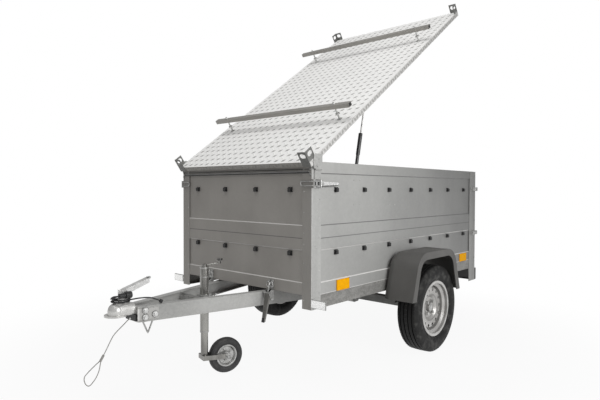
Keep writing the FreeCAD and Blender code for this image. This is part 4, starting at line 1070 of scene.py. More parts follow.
@dataclass
class Lid:
    """The tilting lid: its tread pattern, the roof bars' nuts and end caps, and bolts.

    A lozenge is half its length, half its width and its height.
    """

    half_width: float = 0.574
    front: float = -0.069
    rear: float = 2.034
    top: float = 0.027
    flange: float = 0.030
    pitch: float = 0.056
    lozenge: Triple = (0.0180, 0.0105, 0.0015)
    lozenge_ridge: float = 0.55
    cross_share: float = 0.7
    bars: Pair = (0.400, 1.530)
    bar_lift: float = 0.072
    bar_height: float = 0.025
    bar_half: float = 0.585
    post: float = 0.475
    nut: float = 0.014
    stud_radius: float = 0.004
    washer: Pair = (0.016, 0.002)
    cap: Triple = (0.0252, 0.006, 0.0202)
    cap_inset: float = 0.004
    bracket_bolt: float = 0.009
    bracket_inset: float = 0.030
    bracket_rise: float = 0.008

    def turn(self) -> Matrix:
        """The rotation from the closed lid to the open one."""
        return Matrix.Rotation(math.radians(LID_OPEN_ANGLE), 3, "Y")

    def at(self, behind: float, across: float, over: float) -> Vector:
        """A point on the open lid.

        Args:
            behind: Distance behind the hinge along the closed lid.
            across: Distance to the left.
            over: Height over the hinge of the closed lid.

        Returns:
            The point in the row frame.
        """
        return Vector((LID_HINGE[0], 0.0, LID_HINGE[1])) + self.turn() @ Vector((-behind, across, over))

    def raise_lozenge(self, maker: Maker, middle: Vector, ways: tuple[Vector, Vector], out: Vector,
                      share: float = 1.0) -> None:
        """Raise one lozenge with a short ridge.

        Args:
            maker: Collects its faces.
            middle: Its middle on the sheet.
            ways: Two directions of the sheet, between which it lies.
            out: The way out of the sheet.
            share: A factor on its width.
        """
        first, second = (ways[0] + ways[1]).normalized(), (ways[0] - ways[1]).normalized()
        long, wide, tall = self.lozenge
        wide = wide * share
        ridge = first * (long * self.lozenge_ridge)
        maker.add([middle - first * long, middle + second * wide, middle + first * long,
                   middle - second * wide, middle - ridge + out * tall, middle + ridge + out * tall],
                  [(0, 4, 1), (1, 4, 5), (1, 5, 2), (2, 5, 3), (3, 5, 4), (3, 4, 0)])

    def tread(self) -> None:
        """Raise the slanted lozenges on the sheet and its flanges."""
        slanted, cross, front = Maker(), Maker(), Maker()
        turn = self.turn()
        back, left, up = turn @ Vector((-1, 0, 0)), Vector((0, 1, 0)), turn @ UPWARD
        half = self.pitch / 2
        rows = int((self.rear - self.front) / half)
        columns = int(2 * self.half_width / half)
        margin = (2 * self.half_width - columns * half) / 2
        level = self.top - self.flange / 2
        slants = [back * (1 if row % 2 else -1) for row in range(rows)]
        for row in range(1, rows):
            maker, share = (slanted, 1.0) if row % 2 else (cross, self.cross_share)
            for column in range(2 - row % 2, columns, 2):
                across = -self.half_width + column * half + margin
                middle = self.at(self.front + row * half, across, self.top)
                self.raise_lozenge(maker, middle, (left, slants[row]), up, share)
        for row in range(1, rows):
            for side in Side.RIGHT, Side.LEFT:
                middle = self.at(self.front + row * half, side.value * self.half_width, level)
                self.raise_lozenge(slanted, middle, (-up, slants[row]), side.out)
        for column in range(1, columns):
            across = -self.half_width + column * half
            ways = (-up, left * (1 if column % 2 else -1))
            self.raise_lozenge(front, self.at(self.front, across, level), ways, -back)
            self.raise_lozenge(slanted, self.at(self.rear, across, level), ways, back)
        # The slanted and front flange lozenges carry painted shade, and the cross lozenges a painted highlight.
        slanted.piece("lid_tread", "lid", SLANT_TIPS_SHADE, Slot.TREAD, angle=20.0)
        cross.piece("lid_cross_tread", "lid", CROSS_TIPS_HIGHLIGHT, Slot.TREAD, angle=20.0)
        front.piece("lid_front_tread", "lid", FLANGE_TIPS_SHADE, Slot.TREAD, angle=20.0)

    def fittings(self) -> None:
        """Fit nuts on the bars, washers on the lid and caps in the bars' ends."""
        nuts, caps, bolts = Maker(), Maker(), Maker()
        up = self.turn() @ UPWARD
        top = self.top + self.bar_lift + self.bar_height
        around, thick = self.washer
        for behind in self.bars:
            for side in (-1, 1):
                seat = self.at(behind, side * self.post, top)
                nuts.bolt(seat, up, self.nut, tall=0.5)
                stud = self.at(behind, side * self.post, top + self.nut)
                nuts.rod(seat, stud, self.stud_radius, steps=10)
                foot = self.at(behind, side * self.post, self.top)
                nuts.spun(foot, up, [(0, around), (thick, around)], steps=20)
                end = self.at(behind, side * (self.bar_half - self.cap_inset), top - self.bar_height / 2)
                caps.block(end, self.cap, self.turn())
        for side in (-1, 1):
            across = side * self.half_width
            place = self.at(self.rear - self.bracket_inset, across, self.top + self.bracket_rise)
            bolts.bolt(place, Vector((0, side, 0)), self.bracket_bolt, tall=0.5)
        nuts.piece("roof_bar_nuts", "lid", ZINC, Slot.ZINC)
        caps.piece("roof_bar_caps", "lid", BLACK, Slot.PLASTIC, bevel=0.0008)
        bolts.piece("bracket_bolts", "lid", ZINC, Slot.ZINC)

    def build(self) -> None:
        """Make the lid's pieces and dress its nodes."""
        PAINTS.dress(TREAD, ["lid_tray"])
        PAINTS.dress(BRACKET, ["lid_brackets"])
        PAINTS.dress(BAR, ["roof_bars"])
        PAINTS.dress(ZINC, ["bar_posts"])
        self.tread()
        self.fittings()


@dataclass
class Struts:
    """The gas struts' hollow black sleeves, which ride on the lower parts of the rods."""

    foot: Triple = (0.2295, 0.519, 0.9)
    along: Triple = (-0.2107, 0.0, 0.97755)
    sleeve: tuple[Pair, ...] = (
        (0.370, 0.0107), (0.370, 0.0120), (0.4985, 0.0120), (0.5025, 0.0112), (0.5025, 0.0105),
        (0.4995, 0.0105), (0.4985, 0.0107))

    def build(self) -> None:
        """Dress each side's strut and turn a sleeve with a bevelled end on its rod."""
        for side in Side:
            PAINTS.dress(PAINT, [f"strut_{side.word}_cylinder"])
            PAINTS.dress(ROD, [f"strut_{side.word}_rod"])
            maker = Maker()
            maker.spun(side.at(*self.foot), self.along, self.sleeve, steps=24, closed=True)
            maker.piece(f"strut_sleeve_{side.word}", f"strut_{side.word}_rod", PAINT, Slot.PAINT)


@dataclass
class Wheel:
    """A road wheel: the tyre with its grooves, the bolts and the valve.

    The wall's points are shares of the way from the rim to the tread, across and out. The crown's
    are shares of half the width and of the radius. Each cut is its two ends and its radius, as
    shares too.
    """

    side: Side
    half: float = 0.0725
    radius: float = 0.281
    lip: float = 0.1792
    seat: float = 0.1655
    rim_half: float = 0.0577
    seat_share: float = 0.8
    steps: int = 96
    wall: tuple[Pair, ...] = (
        (0.35, 0.03), (0.5, 0.10), (0.42, 0.13), (0.72, 0.20), (0.95, 0.34), (1.0, 0.46), (0.97, 0.55),
        (0.90, 0.60), (0.90, 0.63), (0.84, 0.70), (0.62, 0.82), (0.42, 0.885))
    crown: tuple[Pair, ...] = (
        (0.83, 0.976), (0.77, 0.988), (0.72, 0.9925), (0.60, 0.994), (0.585, 0.970), (0.515, 0.970),
        (0.50, 0.996), (0.24, 0.9975), (0.225, 0.973), (0.155, 0.973), (0.14, 0.998))
    cut_count: int = 64
    cuts: tuple[Triple, ...] = ((0.61, 0.80, 0.9900), (-0.80, -0.61, 0.9900), (-0.12, 0.12, 0.9975))
    cut_width: float = 0.0022
    cut_height: float = 0.0010
    disc: float = 0.0085
    bolt_count: int = 4
    bolt_circle: float = 0.050
    bolt_size: float = 0.021
    cap_out: float = 0.0155
    cap: tuple[Pair, ...] = ((0, 0.0255), (0.002, 0.025), (0.005, 0.018), (0.0055, 0.004))
    valve: Triple = (0.10974, 0.044, 0.09858)
    valve_length: float = 0.014
    valve_radius: float = 0.0042

    def middle(self) -> Vector:
        """The wheel's centre on its side."""
        return self.side.at(*WHEEL_CENTRE)

    def fit(self, maker: Maker, name: str, finish: Finish, slot: Slot, **options: Any) -> None:
        """Make a piece that turns with this wheel.

        Args:
            maker: Holds the piece's faces.
            name: The piece's name without its side.
            finish: What it is made of.
            slot: The record's slot of that finish.
            options: Maker.piece's other choices.
        """
        maker.piece(f"{name}_{self.side.word}", f"wheel_{self.side.word}", finish, slot, **options)

    def tyre(self) -> None:
        """Turn the tyre with four grooves and a step at each shoulder."""
        maker = Maker()
        wide, tall = self.half - self.rim_half, self.radius - self.lip
        right = [(self.rim_half * self.seat_share, self.seat), (self.rim_half, self.seat),
                 (self.rim_half, self.lip)]
        right += [(self.rim_half + wide * across, self.lip + tall * up) for across, up in self.wall]
        right += [(self.half * across, self.radius * out) for across, out in self.crown]
        profile = [(-across, out) for across, out in right] + list(reversed(right))
        maker.spun(self.middle(), (0, 1, 0), profile, self.steps, closed=True)
        self.fit(maker, "tyre", TYRE, Slot.TYRE, replaces=[f"wheel_{self.side.word}_tyre"], angle=28.0)

    def tread_cuts(self) -> None:
        """Lay dark cuts across the tread's shoulders and middle rib."""
        maker = Maker()
        left = Vector((0, 1, 0))
        for index in range(self.cut_count):
            angle = 2 * math.pi * index / self.cut_count
            spoke = Vector((math.cos(angle), 0, math.sin(angle)))
            turn = Matrix((Vector((-math.sin(angle), 0, math.cos(angle))), left, spoke)).transposed()
            for low, high, out in self.cuts:
                middle = self.middle() + spoke * (self.radius * out) + left * (self.half * (low + high) / 2)
                maker.block(middle, (self.cut_width, self.half * (high - low), self.cut_height), turn)
        self.fit(maker, "tread_cuts", BLACK, Slot.TYRE)

    def fittings(self) -> None:
        """Fit the wheel bolts, the hub's cap and the valve."""
        bolts, valve = Maker(), Maker()
        out = self.side.out
        face = self.middle() + out * self.disc
        for index in range(self.bolt_count):
            angle = math.radians(45 + 360 * index / self.bolt_count)
            spoke = Vector((math.cos(angle), 0, math.sin(angle)))
            bolts.bolt(face + spoke * self.bolt_circle, out, self.bolt_size, tall=0.75)
        bolts.spun(face + out * self.cap_out, out, self.cap, steps=28)
        start = self.middle() + self.side.at(*self.valve)
        valve.rod(start, start + out * self.valve_length, self.valve_radius, steps=10)
        self.fit(bolts, "wheel_bolts", ZINC, Slot.ZINC)
        self.fit(valve, "valve", LEAD, Slot.TYRE)

    def build(self) -> None:
        """Dress the rim and its mudguard, and make the wheel's pieces."""
        PAINTS.dress(RIM, [f"wheel_{self.side.word}_rim"])
        PAINTS.dress(GUARD, [f"mudguard_{self.side.word}"])
        self.tyre()
        self.tread_cuts()
        self.fittings()


@dataclass
class Bed:
    """The sheet steel bed: its finishes, rivets and screws, folds, seam and reflector borders.

    A rivet's share is its size against the side screws.
    """

    outer: float = 0.559
    post: float = 0.566
    front: float = 0.6295
    rear_row: float = -1.3525
    front_row: float = 0.512
    rivet: float = 0.0042
    side_screws: tuple[Pair, ...] = (
        (0.245, 1.108), (0.185, 1.108), (0.245, 1.037), (0.245, 0.965), (0.185, 0.965),
        (-0.145, 0.957), (-0.205, 0.957))
    post_rivets: tuple[Pair, ...] = (
        (0.606, 0.783), (0.566, 0.797), (0.606, 0.755), (0.590, 0.741), (0.606, 0.478), (0.566, 0.620),
        (0.566, 0.500), (0.566, 0.478), (0.566, 0.90), (0.566, 1.00))
    post_share: float = 0.85
    rear_rivets: tuple[float, ...] = (0.345, 0.44, 0.52, 0.60, 0.70, 0.78, 0.83, 0.93, 1.03, 1.15)
    rear_share: float = 0.8
    front_rivets: tuple[float, ...] = (0.46, 0.55, 0.66, 0.76, 0.82, 0.93, 1.04, 1.16)
    front_share: float = 0.7
    side_fold: Box = ((-0.39525, 0.5535, 1.2006), (2.0435, 0.019, 0.0012))
    front_fold: Box = ((0.6155, 0, 1.2006), (0.022, 1.082, 0.0012))
    hinge_plate: Box = ((0.6187, 0.5766, 1.2005), (0.0153, 0.004, 0.075))
    hinge_bolt: Triple = (0.600, 0.5786, 1.176)
    hinge_bolt_size: float = 0.010
    seam_end: Triple = (0.6305, 0.548, 1.1480)
    seam_radius: float = 0.0040
    # Black strips of painted shadow along the seam.
    seam_gaps: tuple[Box, ...] = (
        ((0.6299, 0, 1.1405), (0.0008, 1.096, 0.0055)), ((0.6299, 0, 1.1595), (0.0008, 1.096, 0.0045)))
    seam_bolts: tuple[float, ...] = (1.183, 1.158, 1.133)
    seam_bolt_row: float = 0.556
    seam_bolt: float = 0.011
    reflectors: tuple[Triple, ...] = ((0.3545, 0.5683, 0.5185), (-1.2185, 0.5683, 0.5185))
    border_half: Pair = (0.0565, 0.0285)
    border: float = 0.003
    border_height: float = 0.001

    def rivets(self) -> None:
        """Set rivets along the posts and the strut plates' screws on the walls."""
        maker = Maker()
        spots = [(x, self.outer, z, 1.0) for x, z in self.side_screws]
        spots += [(x, self.post, z, self.post_share) for x, z in self.post_rivets]
        spots += [(self.rear_row, self.post, z, self.rear_share) for z in self.rear_rivets]
        for side in Side:
            for x, y, z, share in spots:
                maker.dome(side.at(x, y, z), side.out, self.rivet * share)
            for z in self.front_rivets:
                maker.dome(side.at(self.front, self.front_row, z), FORWARD, self.rivet * self.front_share)
        maker.piece("bed_rivets", "bed", ZINC, Slot.ZINC)

    def folds(self) -> None:
        """Fold a narrow lip along the top of each wall, and set the lid's hinge plates in front."""
        lips, plates = Maker(), Maker()
        for side in Side:
            place, sizes = self.side_fold
            lips.block(side.at(*place), sizes)
            place, sizes = self.hinge_plate
            plates.block(side.at(*place), sizes)
            plates.bolt(side.at(*self.hinge_bolt), side.out, self.hinge_bolt_size, tall=0.4)
        lips.block(*self.front_fold)
        lips.piece("wall_top_folds", "bed", STEEL, Slot.SHEET)
        plates.piece("hinge_plate_fronts", "bed", STEEL, Slot.STEEL, bevel=0.0008)

    def seam(self) -> None:
        """Run a rolled seam, in darker zinc as painted shade, between two black strips of painted shadow along
        the front board, with bolts at its ends.
        """
        seam, dark = Maker(), Maker()
        seam.rod(Side.RIGHT.at(*self.seam_end), Side.LEFT.at(*self.seam_end), self.seam_radius, steps=12)
        # Black strips of painted shadow above and below the seam.
        for place, sizes in self.seam_gaps:
            dark.block(place, sizes)
        for side in Side:
            for z in self.seam_bolts:
                place = side.at(self.front, self.seam_bolt_row, z)
                seam.bolt(place, FORWARD, self.seam_bolt, tall=0.5)
        dark.piece("front_seam_gaps", "bed", PAINT, Slot.STEEL)
        seam.piece("front_seam", "bed", UNDER_SHADE, Slot.STEEL)

    def reflector_borders(self) -> None:
        """Lay a thin border round each reflector."""
        maker = Maker()
        wide, tall = self.border_half
        level = (2 * wide + self.border, self.border_height, self.border)
        upright = (self.border, self.border_height, 2 * tall + self.border)
        for side in Side:
            for x, y, z in self.reflectors:
                for rise in (tall, -tall):
                    maker.block(side.at(x, y, z + rise), level)
                for along in (wide, -wide):
                    maker.block(side.at(x + along, y, z), upright)
        maker.piece("reflector_borders", "bed", AMBER, Slot.PLASTIC)

    def build(self) -> None:
        """Dress the bed's nodes and add its small pieces."""
        PAINTS.dress(SHEET_SIDE, ["wall_left_lower", "wall_right_lower", "wall_left_upper", "wall_right_upper",
                                  "tailgate_lower", "tailgate_upper"])
        PAINTS.dress(SHEET_FRONT_SHADE, ["wall_front_lower", "wall_front_upper"])
        PAINTS.dress(REAR_POST_SHADE, ["rear_posts"])
        PAINTS.dress(STEEL, ["reflector_brackets", "lid_hinge_plates", "strut_plates"])
        PAINTS.dress(POST, ["front_posts"])
        PAINTS.dress(RAIL, ["side_rails"])
        PAINTS.dress(UNDER_SHADE, ["cross_members", "axle_beam", "axle_arms", "drawbar_pivots"])
        PAINTS.dress(BOARD, ["bed_floor"])
        PAINTS.dress(AMBER, ["amber_reflectors"])
        PAINTS.dress(CLEAR, ["white_reflectors"])
        self.rivets()
        self.folds()
        self.seam()
        self.reflector_borders()


@dataclass
class Hooks:
    """Moulded covers on the tarpaulin hooks of the walls and the tailgate.

    Each block of a hook is its way out of the board, its rise and its sizes: the base plate, the
    head and the lip.
    """

    side_field: float = 0.559
    front_field: float = 0.6225
    tail_field: float = -1.4405
    rows: Pair = (1.052, 0.706)
    first: float = 0.4155
    pitch: float = 0.2731
    count: int = 7
    across: tuple[float, ...] = (-0.4086, -0.1362, 0.1362, 0.4086)
    blocks: tuple[tuple[float, float, Triple], ...] = (
        (0.0020, 0.0, (0.0300, 0.0040, 0.0280)), (0.0085, 0.0035, (0.0215, 0.0120, 0.0130)),
        (0.0130, -0.0045, (0.0215, 0.0036, 0.0170)))
    bevel: float = 0.0012

    def hook(self, maker: Maker, place: Point, out: Vector) -> None:
        """Add one hook.

        Args:
            maker: Collects the faces.
            place: The middle of the base on the board.
            out: The way out of the board.
        """
        turn = Matrix((Vector((abs(out.y), abs(out.x), 0)), out, UPWARD)).transposed()
        for away, rise, sizes in self.blocks:
            maker.block(Vector(place) + out * away + UPWARD * rise, sizes, turn)

    def build(self) -> None:
        """Make the bed's hooks and each tailgate board's."""
        PAINTS.dress(BLACK, ["tarpaulin_hooks"])
        bed = Maker()
        for z in self.rows:
            for side in Side:
                for index in range(self.count):
                    self.hook(bed, side.at(self.first - self.pitch * index, self.side_field, z), side.out)
            for y in self.across:
                self.hook(bed, (self.front_field, y, z), FORWARD)
        bed.piece("hook_covers", "bed", BLACK, Slot.PLASTIC, bevel=self.bevel)
        for z, board in zip(self.rows, ("tailgate_upper", "tailgate_lower")):
            tail = Maker()
            for y in self.across:
                self.hook(tail, (self.tail_field, y, z), -FORWARD)
            tail.piece(f"hook_covers_{board}", board, BLACK, Slot.PLASTIC, bevel=self.bevel)


@dataclass
class Latches:
    """The wire bails, hooks and levers of the corner latches.

    Bails and pins are given by X and Y. The front lever's outline and the rear one's are given by X
    and the rise over the latch's height.
    """

    height: float = 1.084
    wire: float = 0.0026
    bail_half: float = 0.012
    bail: tuple[Pair, ...] = ((0.6365, 0.497), (0.6375, 0.53), (0.6365, 0.572), (0.627, 0.583), (0.60, 0.5845))
    bail_end: Pair = (0.6365, 0.494)
    pin: Pair = (0.5725, 0.5825)
    pin_half: float = 0.021
    pin_radius: float = 0.005
    bolt: Pair = (0.556, 0.5835)
    bolt_size: float = 0.010
    lever: tuple[Pair, ...] = (
        (0.575, 0.0115), (0.50, 0.0095), (0.430, 0.0075), (0.4165, 0.003), (0.4165, -0.003),
        (0.430, -0.0075), (0.50, -0.0095), (0.575, -0.0115))
    # The black plate under the lever is a painted shadow, and the black blocks in the hollows are painted
    # shade.
    lever_shadow_face: float = 0.5745
    lever_face: float = 0.5785
    lever_thick: float = 0.004
    lever_shadow: Pair = (0.0015, 0.0035)
    hollow_face: float = 0.5800
    hollow_thick: float = 0.0012
    hollows: tuple[Quad, ...] = (
        (0.6165, 0.0, 0.010, 0.030), (0.5905, 0.0, 0.016, 0.020), (0.585, 0.0185, 0.050, 0.003),
        (0.585, -0.0185, 0.050, 0.003))
    rear_heights: Pair = (1.058, 0.703)
    rear_pin: Pair = (-1.4115, 0.5815)
    rear_pin_half: float = 0.014
    rear_pin_radius: float = 0.0045
    rear_wire: float = 0.0024
    rear_bail_half: float = 0.009
    rear_bail: tuple[Pair, ...] = ((-1.4115, 0.5825), (-1.44, 0.583), (-1.4575, 0.577), (-1.4580, 0.556))
    rear_lever: tuple[Triple, ...] = (
        (-1.408, 0.5805, 0.011), (-1.372, 0.5815, 0.008), (-1.360, 0.5815, 0.002),
        (-1.360, 0.5815, -0.002), (-1.372, 0.5815, -0.008), (-1.408, 0.5805, -0.011))
    rear_lever_thick: float = 0.003

    def corner(self, maker: Maker, side: Side) -> None:
        """Bend one front latch's bail round its pin.

        Args:
            maker: Collects the faces.
            side: The side it sits on.
        """
        low, high = self.height - self.bail_half, self.height + self.bail_half
        for z in (low, high):
            maker.tube([side.at(x, y, z) for x, y in self.bail], self.wire)
        maker.tube([side.at(*self.bail[0], low), side.at(*self.bail_end, self.height),
                    side.at(*self.bail[0], high)], self.wire)
        maker.rod(side.at(*self.pin, self.height - self.pin_half),
                  side.at(*self.pin, self.height + self.pin_half), self.pin_radius, steps=12)
        maker.bolt(side.at(*self.bolt, self.height), side.out, self.bolt_size, tall=0.4)

    def front_lever(self, bright: Maker, dark: Maker, side: Side) -> None:
        """Lay one front lever over a black plate of painted shadow, and black blocks of painted shade in the
        latch body's recesses.

        Args:
            bright: Collects the lever's faces.
            dark: Collects the faces of the painted shadow and the painted shade.
            side: The side it sits on.
        """
        back, under = self.lever_shadow
        thick = side.out * self.lever_thick
        dark.plate([side.at(x - back, self.lever_shadow_face, self.height - under + z) for x, z in self.lever], thick)
        bright.plate([side.at(x, self.lever_face, self.height + z) for x, z in self.lever], thick)
        for x, rise, wide, tall in self.hollows:
            dark.block(side.at(x, self.hollow_face, self.height + rise), (wide, self.hollow_thick, tall))

    def rear(self, maker: Maker, side: Side, height: float) -> None:
        """Shape one rear latch's pin, bail and lever.

        Args:
            maker: Collects the faces.
            side: The side it sits on.
            height: How high it sits.
        """
        maker.rod(side.at(*self.rear_pin, height - self.rear_pin_half),
                  side.at(*self.rear_pin, height + self.rear_pin_half), self.rear_pin_radius, steps=10)
        for rise in (-self.rear_bail_half, self.rear_bail_half):
            maker.tube([side.at(x, y, height + rise) for x, y in self.rear_bail], self.rear_wire)
        maker.plate([side.at(x, y, height + rise) for x, y, rise in self.rear_lever],
                    side.out * self.rear_lever_thick)

    def build(self) -> None:
        """Make both sides' latches."""
        PAINTS.dress(LATCH, ["bed_latches"])
        for side in Side:
            wires, bright, dark = Maker(), Maker(), Maker()
            self.corner(wires, side)
            self.front_lever(bright, dark, side)
            for height in self.rear_heights:
                self.rear(wires, side, height)
            wires.piece(f"latch_wires_{side.word}", "bed", ZINC, Slot.ZINC, bevel=0.0005)
            bright.piece(f"latch_levers_{side.word}", "bed", BRIGHT, Slot.ZINC, bevel=0.001)
            # Painted shadow under the lever and painted shade in the hollows.
            dark.piece(f"latch_hollows_{side.word}", "bed", BLACK, Slot.ZINC)


@dataclass
class DrawbarClamps:
    """The over-centre clamps that tie the drawbar to the front board.

    X is given from the board's face, and Y from the clamp's middle. The lever's stations are shares
    of its length, with half its width there.
    """

    wall: float = 0.6265
    middle: float = 0.2677
    strap: Box = ((0.002, 0, 0.5175), (0.004, 0.036, 0.055))
    foot: Box = ((0.014, 0, 0.441), (0.020, 0.034, 0.018))
    hollow: Box = ((0.006, 0, 0.468), (0.006, 0.038, 0.036))
    cheek: tuple[Pair, ...] = (
        (0.002, 0.487), (0.018, 0.492), (0.036, 0.482), (0.038, 0.462), (0.026, 0.434), (0.002, 0.430))
    cheek_out: float = 0.0205
    cheek_half: float = 0.00125
    strap_bolt: Triple = (0.004, 0.0125, 0.5375)
    strap_bolt_size: float = 0.012
    pin_bolt_size: float = 0.013
    ring_centre: Triple = (0.0145, 0.0135, 0.519)
    ring_radius: float = 0.0115
    ring_stretch: float = 1.25
    ring_sway: float = 0.002
    ring_steps: int = 16
    ring_wire: float = 0.0029
    pins: tuple[Pair, ...] = ((0.030, 0.472), (0.018, 0.442))
    pin_half: float = 0.024
    pin_radius: float = 0.0052
    hook: tuple[Pair, ...] = (
        (0.012, 0.528), (0.021, 0.519), (0.022, 0.500), (0.028, 0.482), (0.024, 0.462), (0.014, 0.460))
    hook_radius: float = 0.0042
    root: Pair = (0.0325, 0.470)
    tip: Pair = (0.067, 0.3120)
    stations: tuple[Pair, ...] = (
        (0.0, 0.0165), (0.05, 0.019), (0.30, 0.0165), (0.85, 0.0110), (0.97, 0.0095), (1.0, 0.0060))
    lever_thick: float = 0.0026
    rim_depth: float = 0.0085
    rim_thick: float = 0.0022
    grip: Triple = (0.0075, 0.0195, 0.024)
    grip_back: float = 0.012
    grip_rise: float = 0.0015

    def at(self, side: Side, x: float, y: float, z: float) -> Vector:
        """A place on one clamp.

        Args:
            side: The side it sits on.
            x: Distance ahead of the board.
            y: Distance out from the clamp's middle.
            z: Height.

        Returns:
            The point in the row frame.
        """
        return side.at(self.wall + x, self.middle + y, z)

    def ring(self, maker: Maker, centre: Vector) -> None:
        """Add a wire ring that hangs in the plane of the board.

        Args:
            maker: Collects the faces.
            centre: The ring's middle.
        """
        angles = [2 * math.pi * index / self.ring_steps for index in range(self.ring_steps + 1)]
        tall = self.ring_radius * self.ring_stretch
        maker.tube([centre + Vector((self.ring_sway * math.sin(2 * angle), self.ring_radius * math.cos(angle),
                                     tall * math.sin(angle))) for angle in angles], self.ring_wire)

    def body(self, steel: Maker, dark: Maker, side: Side) -> None:
        """Build one clamp's strap, cheeks, rings, pins and hook.

        Args:
            steel: Collects the metal's faces.
            dark: Collects the faces of the hollow's painted shade.
            side: The side it sits on.
        """
        place, sizes = self.strap
        steel.block(self.at(side, *place), sizes)
        for edge in (-1, 1):
            x, y, z = self.strap_bolt
            out = edge * self.cheek_out
            thick = Vector((0, self.cheek_half, 0))
            steel.plate([self.at(side, x, out, z) - thick for x, z in self.cheek], thick * 2)
            steel.bolt(self.at(side, x, edge * y, z), FORWARD, self.strap_bolt_size)
            x, z = self.pins[0]
            steel.bolt(self.at(side, x, out + edge * self.cheek_half, z), side.out * edge,
                       self.pin_bolt_size, tall=0.5)
            x, y, z = self.ring_centre
            self.ring(steel, self.at(side, x, edge * y, z))
        for x, z in self.pins:
            steel.rod(self.at(side, x, -self.pin_half, z), self.at(side, x, self.pin_half, z),
                      self.pin_radius, steps=14)
        steel.tube([self.at(side, x, 0, z) for x, z in self.hook], self.hook_radius, steps=10)
        place, sizes = self.foot
        steel.block(self.at(side, *place), sizes)
        # A black block of painted shade in the clamp's hollow.
        place, sizes = self.hollow
        dark.block(self.at(side, *place), sizes)

    def lever(self, lever: Maker, dark: Maker, side: Side) -> None:
        """Fold one clamp's lever, with a dark grip at its tip.

        Args:
            lever: Collects the lever's faces.
            dark: Collects the grip's faces.
            side: The side it sits on.
        """
        root, end = (self.at(side, x, 0, z) for x, z in (self.root, self.tip))
        along, run = (end - root).normalized(), (end - root).length
        outward = Vector((-along.z, 0, along.x))
        left, right = ([root + along * (run * share) + Vector((0, way * half, 0))
                        for share, half in self.stations] for way in (1, -1))
        lever.plate([*left, *reversed(right)], outward * self.lever_thick)
        depth = outward * self.rim_depth
        for way, edge in ((-1, right), (1, left)):
            for first, second in zip(edge[1:4], edge[2:5]):
                lever.plate([first, second, second - depth, first - depth], (0, -way * self.rim_thick, 0))
        lean = Matrix.Rotation(math.atan2(along.x, -along.z), 3, (0, -1, 0))
        dark.block(end - along * self.grip_back + outward * self.grip_rise, self.grip, lean)

    def build(self) -> None:
        """Make both clamps in place of their plain solids."""
        steel, dark, lever = Maker(), Maker(), Maker()
        for side in Side:
            self.body(steel, dark, side)
            self.lever(lever, dark, side)
        steel.piece("clamp_bodies", "bed", ZINC, Slot.ZINC, bevel=0.0006, replaces=["drawbar_clamps"])
        lever.piece("clamp_levers", "bed", JOCKEY, Slot.ZINC, bevel=0.0006)
        # The black grips, and the black block of painted shade in each hollow.
        dark.piece("clamp_grips_and_painted_shade", "bed", BLACK, Slot.ZINC, bevel=0.0012)


